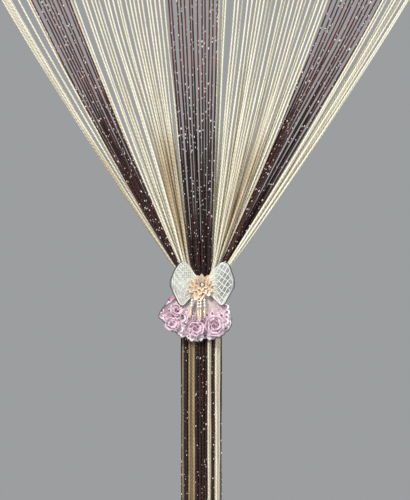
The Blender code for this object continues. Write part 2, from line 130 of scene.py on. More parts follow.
# A row for each band: its edges along the heading and in the tie in millimetres, how many strings
# lie in each layer, the sizes of the bunches that its strings gather into, the gap between two
# bunches in string pitches, the share of the band left bare at its right, each bunch's tan, the
# shares of the way to the tie between which the strings gather, and how many bunches gather early
Band = namedtuple("Band", "name left right tie_left tie_right layers bunches gap bare tans gathered early")
BANDS = (
    Band("strings_cream_edge_left", -500, -430, -23.0, -21.5, (0, 0, 0, 1, 0, 2, 2, 2, 2),
         (6, 1, 2), 5.0, 0.0, (0.60, 0.10, 0.35), (0.30, 0.62), 0),
    Band("strings_brown_left", -430, -324, -21.5, -19.0, (0, 1, 2, 1, 1, 1, 1, 2, 1),
         (2, 1, 2, 1, 2, 2), 1.7, 0.06, (0, 0, 0, 0, 0, 0), (0.62, 0.88), 0),
    Band("strings_cream_left", -324, -87, -19.0, -12.9, (1, 3, 3, 3, 5, 2, 2, 2, 1),
         (2, 2, 2, 1, 2, 12, 1), 2.3, 0.0, (0.0, 0.1, 0.05, 0.0, 0.1, 0.85, 0.1), (0.62, 0.88), 1),
    Band("strings_brown_middle", -87, 24, -12.9, 9.8, (4, 4, 2, 3, 0, 0, 0, 0, 0),
         (13,), 1.0, 0.0, (0,), (0.62, 0.88), 0),
    Band("strings_cream_right", 24, 307, 9.8, 12.6, (1, 1, 2, 3, 5, 4, 4, 3, 3),
         (3, 2, 2, 4, 2, 2, 2, 6, 2, 1), 2.0, 0.0,
         (0.1, 0.0, 0.1, 0.35, 0.0, 0.5, 0.55, 0.8, 0.15, 0.5), (0.62, 0.88), 1),
    Band("strings_brown_right", 307, 439, 12.6, 17.5, (0, 1, 1, 1, 3, 2, 2, 1, 1),
         (7, 2, 2, 1), 2.6, 0.14, (0, 0, 0, 0), (0.62, 0.88), 0),
    Band("strings_cream_edge_right", 439, 500, 17.5, 21.5, (0, 1, 2, 1, 0, 2, 1, 1, 0),
         (1, 1, 3, 1, 2), 1.5, 0.0, (0.0, 0.1, 0.05, 0.2, 0.1), (0.30, 0.62), 0),
)
String = namedtuple("String", "band top tie gather gathered layer slot stray tan number")

# Bow: a row for each section of a wing, from the pinch outwards, in millimetres
Section = namedtuple("Section", "out low high forward")
BOW_LEFT = (
    Section(0.0, -5.5, 7.5, 17.6),
    Section(5.0, -7.5, 9.5, 17.8),
    Section(11.0, -11.5, 15.5, 19.5),
    Section(17.0, -15.5, 24.0, 24.0),
    Section(22.0, -20.8, 29.0, 27.0),
    Section(25.2, -23.4, 28.6, 27.6),
    Section(28.0, -22.0, 27.2, 28.0),
    Section(32.5, -14.0, 21.5, 26.5),
    Section(36.5, -6.0, 13.5, 24.0),
    Section(38.5, 0.0, 7.0, 22.5),
)
BOW_RIGHT = (
    Section(0.0, -5.5, 7.5, 17.6),
    Section(5.0, -8.0, 9.0, 17.8),
    Section(10.5, -10.5, 15.0, 19.5),
    Section(15.5, -15.5, 21.5, 23.5),
    Section(21.0, -21.0, 26.0, 27.0),
    Section(24.0, -23.0, 28.6, 27.8),
    Section(26.8, -20.8, 28.5, 28.5),
    Section(31.5, -13.0, 26.5, 27.0),
    Section(35.5, -6.5, 17.5, 24.5),
    Section(38.0, -1.5, 9.0, 22.5),
)
BOW_PLEATS = 4
BOW_PLEAT = 0.5
BOW_PLEATS_TO = 24
BOW_CURL = 3.0
BOW_CURLED_BY = 20
BOW_SMOOTHED = 1.6
BOW_ROUNDED = 0.018
BOW_FOLDS = 47.0
BOW_FOLD_SWAY = 2.5
BOW_FOLD_SWAYS = 9.0
LACE_REACH = 0.95
LINE_FROM = 21

# Flower: a row for each ring of petals, in millimetres
PetalRing = namedtuple("PetalRing", "name node petals tip seat cup turn droop width full point")
FLOWER_X = TIE_X - 0.3 * MM
FLOWER_Z = TIE_MID + 1.8 * MM
FLOWER = (
    PetalRing("outer_petals", "flower_outer_petals", 12, 12.6, 19.6, 0.42, 0.0, 6.6, 7.6, 0.40, 2.2),
    PetalRing("middle_petals", "flower_middle_petals", 9, 9.8, 21.15, 0.55, 0.2, 4.0, 6.4, 0.36, 1.1),
    PetalRing("inner_petals", "flower_inner_petals", 6, 6.6, 22.75, 0.80, 0.5, 1.6, 5.0, 0.40, 1.1),
)
DROOP_WAY = -115
PETAL_START = 0.10
PETAL_GROWTH = 0.92
PETAL_TAPER = 0.26
PETAL_CREASE = 1.5
PETAL_TROUGH = 0.7
PETAL_STACK = 0.45
STONE_RADIUS = 2.0 * MM
STONE_BACK = 0.9 * MM
STONE_TABLE = 1.26 * MM
STONE_DEPTH = 2.4 * MM
STONE_SEAT = 24.43 * MM
STONE_BEADS = 14
STONE_CLAWS = 4

# Drops: a row for each: its foot's place across, its length, and its slant to the right
Drop = namedtuple("Drop", "across length slant")
DROPS = (Drop(-15.4, 30.0, -3.8), Drop(-5.0, 33.0, 0.6), Drop(-2.4, 32.0, -0.3), Drop(2.6, 30.0, 0.4))
DROP_TOP = TIE_MID - 10 * MM
DROP_CLEAR = 1.55 * MM
DROP_FOOT_DEPTH = 33.0 * MM

# Frill: a row for each ray from the tie: angle from straight down, reach, and forward bulge
Ray = namedtuple("Ray", "angle reach bulge")
FRILL = (
    Ray(-72, 40, 1.0), Ray(-64, 50, 2.2), Ray(-57, 62, 0.5), Ray(-50, 62, 5.5), Ray(-43, 61, 1.5),
    Ray(-36, 63, 7.0), Ray(-29, 63, 3.0), Ray(-23, 65, 7.5), Ray(-17, 63, 1.5), Ray(-12, 66, 6.5),
    Ray(-6, 65, 2.5), Ray(-1, 64, 6.5), Ray(3, 61, 0.5), Ray(8, 64, 6.5), Ray(14, 63, 4.0),
    Ray(20, 63, 7.5), Ray(26, 61, 3.0), Ray(33, 59, 7.0), Ray(39, 55, 1.5), Ray(46, 47, 4.5),
    Ray(54, 36, 0.5),
)
FRILL_WALL = 1.2 * MM
FRILL_SEAT = TIE_HALF_DEEP + TIE_WALL + 0.3 * MM
FRILL_HEAD = TIE_MID - 1.0 * MM
FRILL_HEAD_REACH = 4.0 * MM
FRILL_HEAD_HALF = 14 * MM
FRILL_GATHER = 0.32
FRILL_SPREAD_BY = 0.45
FRILL_FULL_BY = 0.77
FRILL_RIPPLE = 0.5 * MM
FRILL_RIPPLES = 150

# Rosettes: a row for each, in millimetres
Rosette = namedtuple("Rosette", "name node across down radius turns back")
ROSETTES = (
    Rosette("rolled_rosette_top_left", "rosette_top_left", -30.5, 28.0, 7.0, 1.8, 23.4),
    Rosette("rolled_rosette_left", "rosette_left", -37.0, 44.0, 8.5, 2.2, 24.0),
    Rosette("rolled_rosette_middle", "rosette_middle", -8.5, 50.0, 10.0, 2.4, 23.6),
    Rosette("rolled_rosette_right", "rosette_right", 14.5, 46.5, 12.5, 2.9, 24.6),
)
ROSETTE_CORE = 1.0 * MM
ROSETTE_WALL = 1.2 * MM
ROSETTE_DEPTH = 6.0 * MM
ROSETTE_FLARE = 3.2
ROSETTE_LEAST_FLARE = 0.4
ROSETTE_HEART = 0.16
ROSETTE_RUFFLE = 0.4 * MM
ROSETTE_LIP = 0.8 * MM

# Frill's raised curls: a row for each run of them, where it starts and ends as shares across the frill
# and down its rays, how many there are, the first's and the last's radius, their turn in degrees
# clockwise from straight up, and their thickness
Run = namedtuple("Run", "across across_to down down_to count first last turn thick")
RUNS = (
    Run(0.28, 0.31, 0.68, 0.90, 2, 5.6, 4.0, 0, 2.1),
    Run(0.42, 0.60, 0.95, 0.95, 3, 2.6, 3.0, 170, 1.3),
    Run(0.95, 0.78, 0.72, 0.88, 6, 3.6, 3.0, -25, 2.1),
)
Curl = namedtuple("Curl", "across down size turn thick")
CURL_SWAY = 18
CURL_SWEEP = 190
CURL_CLOSES = 0.3
EYELET_SHARE = 0.29

# Lace: a row for each strip of another shade down the frill's rays, where it lies as shares across the frill
# and down its rays, and its width in millimetres; the two shadow rows are painted shadow under the bow's
# wings
Zone = namedtuple("Zone", "colour across start end wide")
ZONES = (
    Zone("rose", 0.03, 0.30, 0.78, 4.5), Zone("smoke", 0.09, 0.40, 0.80, 2.6),
    # The shadow row here and the one below are painted shadow under the bow's wings
    Zone("mauve", 0.10, 0.74, 0.98, 9.0), Zone("shadow", 0.26, 0.24, 0.36, 2.2),
    Zone("shadow", 0.85, 0.28, 0.38, 1.8), Zone("smoke", 0.38, 0.25, 0.62, 3.0),
    Zone("smoke", 0.47, 0.30, 0.65, 2.8), Zone("smoke", 0.55, 0.30, 0.60, 2.2),
)
# The repeat of small leaves with dark hearts: rings round the tie's middle by their reach in millimetres,
# where they start and end in degrees from straight down, and a leaf's spacing, size, turn and sweep
Stroke = namedtuple("Stroke", "colour width points")
LEAF_RINGS = (27, 34.5, 42, 49.5, 57)
LEAF_FROM = -70
LEAF_TO = 52
LEAF_SPACING = 8.4
LEAF_SIZE = 2.5
LEAF_SWAY = 0.2
LEAF_TURN = 137
LEAF_RING_TURN = 71
LEAF_SWEEP = 150
LEAF_LINE = 1.3
LEAF_HEART = 1.9
LEAF_HEART_SHARE = 0.45
LEAF_HEART_TURN = 40
STROKE_COLOURS = ("rose", "mauve", "smoke", "pale", "shadow")


def tone(red, green, blue):
    """A colour from its values on a screen, 0 to 255, as the shaders' linear numbers."""
    shares = [value / 255 for value in (red, green, blue)]
    linear = [s / 12.92 if s <= 0.04045 else ((s + 0.055) / 1.055) ** 2.4 for s in shares]
    return (*linear, 1.0)


def length(name, default, description):
    """A length setting, with its default in millimetres."""
    return FloatProperty(name=name, description=description, default=default * MM, min=0.0,
                         subtype='DISTANCE', unit='LENGTH', precision=5)


def number(name, default, description, most=1.0):
    """A plain number setting."""
    return FloatProperty(name=name, description=description, default=default, min=0.0, max=most)


def colour(name, default, description):
    """A colour setting, with its default as a screen shows it."""
    return FloatVectorProperty(name=name, description=description, default=tone(*default), size=4,
                               min=0.0, max=1.0, subtype='COLOR')


class StringSettings(bpy.types.PropertyGroup):
    """Sizes and colours of the strings."""

    thickness: length("String thickness", 2.4, "Thickness of one twisted cream string")
    dark_thickness: length("Dark string thickness", 1.9, "Thickness of one twisted dark string")
    step: length("Ring step", 6.5, "Distance between the rings of points along a string")
    twist: length("Twist pitch", 5.0, "Length of string in which its two plies go once round")
    wander: length("Wander", 0.22, "How far a hanging string wanders from a straight line")
    cream: colour("Cream", (250, 245, 224), "The bright cream strings")
    # The tan is the cream strings' own, and it also carries their painted shade where they crowd together
    tan: colour("Tan", (190, 164, 122), "The darker tan that some cream strings lean to")
    # Umber is painted shade in the bundle's left half, below the tie
    umber: colour("Umber", (134, 106, 74), "The darkest tan, in the left half of the bundle")
    # The olive is fine fibre mottling and painted shade on each cream string's flanks
    shade: colour("Shade", (158, 150, 112), "The olive shade between a cream string's fibres")
    brown: colour("Brown", (88, 48, 44), "The dark strings")
    maroon: colour("Maroon", (112, 52, 46), "The reddish stretches of the dark strings")
    # Ebony is painted shade where the dark strings crowd together
    painted_crowd_shade: colour("Ebony", (34, 18, 14), "The dark strings where they crowd together")
    fleck: colour("Fleck", (255, 252, 250), "The foil flecks twisted into the dark strings")
    fleck_gap: length("Fleck gap", 7.0, "Mean distance between the flecks of a dark string")


class HeadingSettings(bpy.types.PropertyGroup):
    """Sizes and colours of the heading."""

    cloth: colour("Cloth", (218, 206, 174), "The heading's woven strip")
    thread: colour("Sewing thread", (206, 190, 150), "The two rows of stitches")
    stitch: length("Stitch", 3.4, "Length of one stitch with its gap")


class OrnamentSettings(bpy.types.PropertyGroup):
    """Sizes and colours of the tie, bow, flower, drops, frill and rosettes."""

    ivory: colour("Ivory", (242, 244, 236), "The net, the corded edges and the elastic")
    cream: colour("Warm white", (240, 238, 222), "The bow where its layers lie close at the pinch")
    haze: colour("Haze", (198, 200, 190), "The fine net behind the left wing")
    smoke: colour("Smoke", (140, 144, 142), "The sheer net behind the right wing's outer half")
    nylon: colour("Nylon", (58, 60, 58), "The stiffening line at the wings' ends and the frill's hem")
    net_cord: length("Net cord", 0.8, "Thickness of the bow's net cords")
    edge_cord: length("Edge cord", 0.95, "Thickness of the cords round the bow and the frill")
    nylon_cord: length("Nylon cord", 1.0, "Thickness of the stiffening line")
    peach: colour("Peach", (222, 195, 159), "The petals")
    # The petals' pale rims are a painted highlight
    petal_rim: colour("Petal rim", (243, 224, 200), "The petals' pale rims")
    petal_root: colour("Petal root", (166, 118, 78), "The petals' shaded roots and creases")
    # The stone's near-white pink is a painted highlight over its lilac
    stone: colour("Stone", (248, 236, 248), "The faceted stone")
    pearl: colour("Pearl", (246, 238, 220), "The round beads")
    gilt: colour("Gilt", (236, 206, 160), "The long beads")
    ground: colour("Ground", (216, 172, 190), "The lace's ground")
    pink: colour("Pink", (228, 180, 202), "The brighter pink places of the lace")
    blush: colour("Blush", (240, 216, 228), "The frill's and the rosettes' pale places")
    # The rose at the rosettes' roots is painted shade deep in their spirals
    rose: colour("Rose", (214, 142, 168), "The deepest pink places and the roots of the rosettes")
    mauve: colour("Mauve", (164, 126, 140), "The greyish folds of the lace")
    sheer: colour("Sheer", (200, 190, 184), "The sheer places of the lace, such as behind the drops")
    pale: colour("Pale", (248, 246, 248), "The whitest places of the lace")
    # Shadow is painted shadow under the bow's wings, and the dark hearts of the lace's leaves
    shadow: colour("Shadow", (54, 40, 48), "The deepest folds of the lace")


class StageSettings(bpy.types.PropertyGroup):
    """The camera, the backdrop and the lights."""

    view_height: FloatProperty(name="View height", default=0.6, unit='LENGTH',
                               description="Height of what the camera sees at the curtain")
    distance: FloatProperty(name="Camera distance", description="From the camera to the curtain",
                            default=2.2, unit='LENGTH')
    backdrop: colour("Backdrop", (156, 158, 160), "The plain surroundings")
    floor: colour("Floor", (196, 195, 192), "The plain pale floor")
    ambient: number("Ambient", 1.0, "Strength of the surroundings' light", most=10.0)
    key: number("Key light", 2.8, "Strength of the light from the left", most=20.0)
    fill: number("Fill light", 0.9, "Strength of the light from the right", most=20.0)
    rim: number("Back light", 0.5, "Strength of the light from behind", most=20.0)


class Shade:
    """A number, colour or vector that varies over a surface. Sums on it add Math nodes."""

    def __init__(self, tree, socket=None):
        self.tree = tree
        self.socket = socket

    def node(self, kind, settings=None, inputs=None, output=0):
        """Add a node: its settings are set first, then its sockets' values or links."""
        made = self.tree.nodes.new(kind)
        for name, value in (settings or {}).items():
            setattr(made, name, value)
        for name, value in (inputs or {}).items():
            if isinstance(value, Shade):
                self.tree.links.new(value.socket, made.inputs[name])
            else:
                made.inputs[name].default_value = value
        return Shade(self.tree, made.outputs[output])

    def maths(self, operation, first, second=0.0):
        return self.node("ShaderNodeMath", {"operation": operation}, {0: first, 1: second})

    def __add__(self, other):
        return self.maths('ADD', self, other)

    def __sub__(self, other):
        return self.maths('SUBTRACT', self, other)

    def __rsub__(self, other):
        return self.maths('SUBTRACT', other, self)

    def __mul__(self, other):
        return self.maths('MULTIPLY', self, other)

    def __abs__(self):
        return self.maths('ABSOLUTE', self)

    def sine(self):
        return self.maths('SINE', self)

    def cosine(self):
        return self.maths('COSINE', self)

    def clamp(self):
        return self.maths('MAXIMUM', self.maths('MINIMUM', self, 1.0), 0.0)

    def soft(self, low, high):
        """0 below low and 1 above high, with a soft step between."""
        return self.node("ShaderNodeMapRange", {"interpolation_type": 'SMOOTHSTEP'},
                         {"Value": self, "From Min": low, "From Max": high})

    def mix(self, factor, first, second):
        """Two colours mixed by a factor."""
        return self.node("ShaderNodeMix", {"data_type": 'RGBA'}, {0: factor, 6: first, 7: second}, output=2)

    def noise(self, scale, detail=2.0, vector=None):
        """Soft noise from 0 to 1 on this or another vector."""
        return self.node("ShaderNodeTexNoise", None,
                         {"Vector": vector or self, "Scale": scale, "Detail": detail})

    def spot(self):
        """The place on the object, in metres."""
        return self.node("ShaderNodeTexCoord", output=3)

    def web(self, scale):
        """Fine mesh round cells on this vector: 1 in its threads and 0 in its holes."""
        cell = self.node("ShaderNodeTexVoronoi", {"feature": 'DISTANCE_TO_EDGE'},
                         {"Vector": self, "Scale": scale})
        return cell.soft(0.34, 0.14)

    def part(self, axis):
        """The X, Y or Z of this vector."""
        return self.node("ShaderNodeSeparateXYZ", None, {0: self}, output="XYZ".index(axis))

    def vector(self, x, y, z):
        return self.node("ShaderNodeCombineXYZ", None, {0: x, 1: y, 2: z})

    def attribute(self, name):
        """A number stored on the mesh's points."""
        return self.node("ShaderNodeAttribute", {"attribute_name": name}, output="Fac")

    def bump(self, height, distance, strength=1.0):
        """The surface's normal, raised by a height."""
        return self.node("ShaderNodeBump", None,
                         {"Height": height, "Distance": distance, "Strength": strength})


def new_finish(name, roughness=0.6, metallic=0.0, **plain):
    """A Principled material: (material, shader, a Shade to start sums from). plain sets sockets."""
    made = bpy.data.materials.new(name)
    made.use_nodes = True
    shader = made.node_tree.nodes["Principled BSDF"]
    shader.inputs["Roughness"].default_value = roughness
    shader.inputs["Metallic"].default_value = metallic
    for socket, value in plain.items():
        shader.inputs[socket.replace("_", " ")].default_value = value
    return made, shader, Shade(made.node_tree)


def feed(shader, **shades):
    """Link shades to a shader's sockets, named with _ for a space."""
    for socket, shade in shades.items():
        target = shader.inputs[socket.replace("_", " ")]
        shade.tree.links.new(shade.socket, target)


def twisted_finish(name, looks, dark):
    """A twisted string: two plies of fine fibres, and reddish stretches on a dark one, with painted shade in
    the grooves between the plies, on a cream string's flanks and where the strings crowd together.
    """
    rough, sheen, gloss = (0.6, 0.04, 0.3) if dark else (0.5, 0.15, 0.5)
    made, shader, start = new_finish(name, roughness=rough, Sheen_Weight=sheen, Specular_IOR_Level=gloss)
    place = start.node("ShaderNodeUVMap")
    around, along = place.part("X"), place.part("Y")
    thread = start.attribute("thread")
    turns = STRING_CUT / looks.twist
    ply = ((around * 2.0 + along * turns) * math.tau).sine()
    # Painted shade on the string's left and right flanks, where its neighbours lie
    painted_flank_shade = (around * math.tau).cosine()
    painted_flank_shade = painted_flank_shade * painted_flank_shade
    run = start.vector(thread * 37.0, along * (STRING_CUT / (30 * MM)), around * 0.5)
    streak = start.noise(1.0, 3.0, vector=run)
    fibre = start.vector(thread * 53.0, along * (STRING_CUT / (2.2 * MM)), around * 4.0)
    fuzz = start.noise(1.0, 2.0, vector=fibre)
    if dark:
        base = start.mix(streak.soft(0.46, 0.62), looks.brown, looks.maroon)
        # Painted shade: ebony where the dark strings crowd together, broken up by the streaks
        base = start.mix((start.attribute("tan") + (streak - 0.5) * -0.6).clamp(), base, looks.painted_crowd_shade)
        base = start.mix(fuzz.soft(0.62, 0.80) * 0.25, base, tone(170, 110, 96))
    else:
        lean = start.attribute("tan") + (streak - 0.5) * 0.8
        base = start.mix(lean.clamp(), looks.cream, looks.tan)
        # Umber: painted shade in the bundle's left half, below the tie
        base = start.mix(lean.soft(0.9, 1.7), base, looks.umber)
        # Olive: fine fibre mottling, the string's own, and painted shade on its flanks
        shaded = (fuzz.soft(0.50, 0.25) * 0.35 + painted_flank_shade.soft(0.40, 1.0) * 0.5).clamp()
        base = start.mix(shaded, base, looks.shade)
    # Painted shade in the grooves between the two plies
    painted_groove_shade = ply.soft(-0.1, -1.0) * 0.5
    base = start.mix(painted_groove_shade, base, start.mix(0.6 if dark else 0.45, base, (0.02, 0.015, 0.01, 1.0)))
    feed(shader, Base_Color=base, Normal=start.bump(ply, 0.2 * MM, 0.8))
    return made


def foil_finish(looks):
    """Thin bright foil, mostly white, with a little pink and gold in it."""
    made, shader, start = new_finish("fleck_foil", roughness=0.35, Coat_Weight=0.3)
    place = start.spot()
    hue = place.noise(400.0, 0.0)
    shown = start.mix(hue.soft(0.54, 0.60) * 0.8, looks.fleck, tone(248, 218, 180))
    shown = start.mix(hue.soft(0.40, 0.34) * 0.7, shown, tone(244, 204, 214))
    feed(shader, Base_Color=shown)
    return made


def woven_finish(name, base, pitch, roughness=0.8):
    """Plain weave: warp and weft cross over and under at the pitch."""
    made, shader, start = new_finish(name, roughness=roughness, Sheen_Weight=0.2)
    place = start.spot()
    warp = (place.part("X") * (math.tau / pitch)).sine()
    weft = (place.part("Z") * (math.tau / pitch)).sine()
    weave = warp * weft
    cloud = place.noise(30.0, 3.0)
    shown = start.mix(cloud.soft(0.35, 0.75) * 0.5, base, start.mix(0.18, base, tone(120, 96, 60)))
    shown = start.mix(weave.soft(-0.2, -1.0) * 0.25, shown, tone(120, 100, 70))
    feed(shader, Base_Color=shown, Normal=start.bump(weave, 0.25 * MM, 0.6))
    return made


def thread_finish(name, base, roughness=0.5):
    """Smooth corded thread with a fine twist and soft shading."""
    made, shader, start = new_finish(name, roughness=roughness, Sheen_Weight=0.15)
    place = start.spot()
    cloud = place.noise(260.0, 2.0)
    shown = start.mix(cloud.soft(0.3, 0.8) * 0.35, base, start.mix(0.35, base, tone(150, 142, 126)))
    feed(shader, Base_Color=shown, Normal=start.bump(place.noise(1800.0, 1.0), 0.08 * MM, 0.5))
    return made


def smooth(share):
    """Rise from 0 to 1 with a soft start and end."""
    share = min(max(share, 0.0), 1.0)
    return share * share * (3 - 2 * share)


def fallen(height, high, low):
    """Rise from 0 to 1 as a height falls between two given in millimetres."""
    return smooth((high * MM - height) / ((high - low) * MM))


def soft_rise(values, low, high):
    """The same rise for an array of values, from low to high."""
    share = np.clip((values - low) / (high - low), 0.0, 1.0)
    return share * share * (3 - 2 * share)


def start_mesh():
    """An empty bmesh with a UV map."""
    bm = bmesh.new()
    bm.loops.layers.uv.new("UVMap")
    return bm


def lay_grid(bm, columns, rows, place):
    """A grid of faces, each point moved to place(across, down) of shares from 0 to 1."""
    made = bmesh.ops.create_grid(bm, x_segments=columns, y_segments=rows, size=0.5, calc_uvs=True)
    for vert in made["verts"]:
        vert.co = place(vert.co.x + 0.5, 0.5 - vert.co.y)
    return made["verts"]


def tube_rings(points, radius, sides):
    """Rings of points round a path. radius is one number or one for each point."""
    points = np.asarray(points, float)
    along = np.gradient(points, axis=0)
    along /= np.linalg.norm(along, axis=1, keepdims=True)
    side = np.cross(along, FRONT)
    side /= np.linalg.norm(side, axis=1, keepdims=True)
    out = np.cross(side, along)
    radius = np.broadcast_to(np.asarray(radius, float), len(points))[:, None, None]
    angles = np.arange(sides) / sides * math.tau
    circle = np.cos(angles)[None, :, None] * side[:, None] + np.sin(angles)[None, :, None] * out[:, None]
    return points[:, None] + radius * circle


def roll_tube(bm, points, radius, sides=6):
    """A grid rolled into a tube along a path, its seam and ends still open."""
    rings = tube_rings(points, radius, sides)
    rows = len(rings) - 1
    made = bmesh.ops.create_grid(bm, x_segments=sides, y_segments=rows, size=0.5, calc_uvs=True)
    for vert in made["verts"]:
        column = round((vert.co.x + 0.5) * sides) % sides
        vert.co = rings[round((0.5 - vert.co.y) * rows)][column]
    return made["verts"]


def close_tubes(bm):
    """Merge the seams of rolled tubes and fill their ends."""
    bmesh.ops.remove_doubles(bm, verts=bm.verts, dist=MM / 1000)
    bmesh.ops.holes_fill(bm, edges=[edge for edge in bm.edges if edge.is_boundary], sides=0)


def faces_of(verts):
    """Every face that one of the verts belongs to."""
    return {face for vert in verts for face in vert.link_faces}


def give_finish(faces, finish):
    """Give faces one of their piece's finishes, by its number."""
    for face in faces:
        face.material_index = finish


def strew_chips(bm, places, finish):
    """Small flat chips, one for each place of (centre, along, out, size), all in one finish."""
    columns = 2 * len(places) - 1
    made = bmesh.ops.create_grid(bm, x_segments=columns, y_segments=1, size=0.5)["verts"]

    def seat(vert):
        column = round((vert.co.x + 0.5) * columns)
        return column // 2, column % 2 - 0.5, math.copysign(0.5, vert.co.y)

    seats = {vert: seat(vert) for vert in made}
    faces = faces_of(made)
    between = [face for face in faces if len({seats[vert][0] for vert in face.verts}) > 1]
    bmesh.ops.delete(bm, geom=between, context='FACES_ONLY')
    kept = [face for face in faces if face.is_valid]
    raised = bmesh.ops.extrude_face_region(bm, geom=kept, use_keep_orig=True)["geom"]
    lids = {vert: seat(vert) for vert in raised if isinstance(vert, bmesh.types.BMVert)}
    seats.update(lids)
    for vert, (chip, x, y) in seats.items():
        if not vert.is_valid:
            continue
        centre, along, out, size = places[chip]
        lift = 0.5 if vert in lids else -0.5
        vert.co = centre + along * (x * size[0]) + along.cross(out) * (y * size[1]) + out * (lift * size[2])
        give_finish(vert.link_faces, finish)


def place_in_scene(name, data):
    """A new object in the scene."""
    made = bpy.data.objects.new(name, data)
    bpy.context.scene.collection.objects.link(made)
    return made


def add_piece(name, bm, finishes, node=None):
    """Turn a bmesh into a named piece that rides on the curtain's body."""
    bmesh.ops.recalc_face_normals(bm, faces=bm.faces)
    mesh = bpy.data.meshes.new(name)
    bm.to_mesh(mesh)
    bm.free()
    mesh.shade_smooth()
    for finish in finishes:
        mesh.materials.append(finish)
    piece = place_in_scene(name, mesh)
    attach(piece, BODY)
    if node:
        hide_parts(node)
    return piece


def thicken(piece, wall, subdivide=0):
    """Give a sheet its thickness, then round it."""
    solid = piece.modifiers.new("Wall", 'SOLIDIFY')
    solid.thickness = wall
    solid.offset = 0.0
    if subdivide:
        rounded = piece.modifiers.new("Round", 'SUBSURF')
        rounded.levels = rounded.render_levels = subdivide
    return piece


def dealt_layers(shares):
    """The layer of each string of a band: every layer's strings are spread evenly across it."""
    places = sorted(((turn + 0.5) / share, DEAL.index(layer), layer)
                    for layer, share in enumerate(shares) for turn in range(share))
    return [layer for _, _, layer in places]


def gathered_places(band):
    """The share across its band where each string ends up once it has gathered in its bunch."""
    places, at = [], 0.0
    for size in band.bunches:
        places += [at + string for string in range(size)]
        at += size - 1 + band.gap
    return [place / (at - band.gap or 1.0) * (1 - band.bare) for place in places]


def lay_out_strings():
    """Every string, left to right, with its place on the heading, in the tie and in its layer."""
    in_layer = [sum(band.layers[layer] for band in BANDS) for layer in range(LAYERS)]
    used = [0] * LAYERS
    strings = []
    for band in BANDS:
        layers = dealt_layers(band.layers)
        tans = [tan for size, tan in zip(band.bunches, band.tans) for _ in range(size)]
        early = sum(band.bunches[:band.early])
        for place, (layer, gathered) in enumerate(zip(layers, gathered_places(band))):
            share = (place + 0.5) / len(layers)
            shift = (gathered - share) * MM if len(band.bunches) > 1 else 0.0
            count = len(strings)
            strings.append(String(
                band=band.name,
                top=(band.left + (band.right - band.left) * share) * MM,
                tie=TIE_X + (band.tie_left + (band.tie_right - band.tie_left) * share) * MM,
                gather=(shift * (band.right - band.left), shift * (band.tie_right - band.tie_left)),
                gathered=EARLY if place < early else band.gathered,
                layer=layer - (LAYERS - 1) / 2,
                slot=used[layer] - (in_layer[layer] - 1) / 2,
                stray=STRAY * math.sin(STRING_PHASE * count * count),
                tan=tans[place],
                number=count,
            ))
            used[layer] += 1
    return strings


def string_path(string, step, wander):
    """Points along a string from its root to its free end."""
    share = np.linspace(0.0, 1.0, round(-TIE_TOP / step))
    height = ROOT_TOP - ROOT_DROP / 2 + (TIE_TOP - ROOT_TOP + ROOT_DROP / 2) * share
    bow = 4 * share * (1 - share)
    slot_x = TIE_X + string.slot * SLOT_PITCH * TIE_SQUEEZE
    shift = soft_rise(share, SHIFT_FROM, 1.0)
    gather = soft_rise(share, *string.gathered) * (1 - soft_rise(share, *LET_GO))
    top = string.top + string.gather[0] * gather
    tie = string.tie + string.gather[1] * gather
    across = top + (tie - top) * share
    across += bow * (SAG * (top - TIE_X) / (WIDTH / 2) + string.stray)
    across += (slot_x - string.tie) * shift
    depth = string.layer * LAYER_PITCH * TIE_SQUEEZE * soft_rise(share, 0.0, LAYERED_BY)
    fan = np.stack((across, depth, height), axis=1)
    bundle = np.array((BUNDLE_X + string.slot * SLOT_PITCH, string.layer * LAYER_PITCH, BUNDLE_TOP))
    foot = np.array((*fan[-1][:2], TIE_FOOT))
    fall = np.linspace(0.0, 1.0, round((TIE_FOOT - BUNDLE_TOP) / step) + 1)[:, None]
    lead = foot + (bundle - foot) * soft_rise(fall, 0.0, 1.0)
    lead[:, 2] = (foot + (bundle - foot) * fall)[:, 2]
    path = np.concatenate((fan, lead))
    left = STRING_CUT - ROOT_DROP / 2 - np.linalg.norm(np.diff(path, axis=0), axis=1).sum()
    drop = np.linspace(0.0, left, round(left / step) + 1)[1:]
    path = np.concatenate((path, bundle - np.outer(drop, (0.0, 0.0, 1.0))))
    high = path[:, 2]
    free = soft_rise(high, -60 * MM, -180 * MM) * soft_rise(abs(high - TIE_MID), 10 * MM, 80 * MM)
    phase = string.number * STRING_PHASE
    for wave in WAVES:
        swing = np.sin(high / (wave.length * MM) + phase * wave.phase)
        path[:, wave.axis] += wander * free * wave.share * swing
    return path


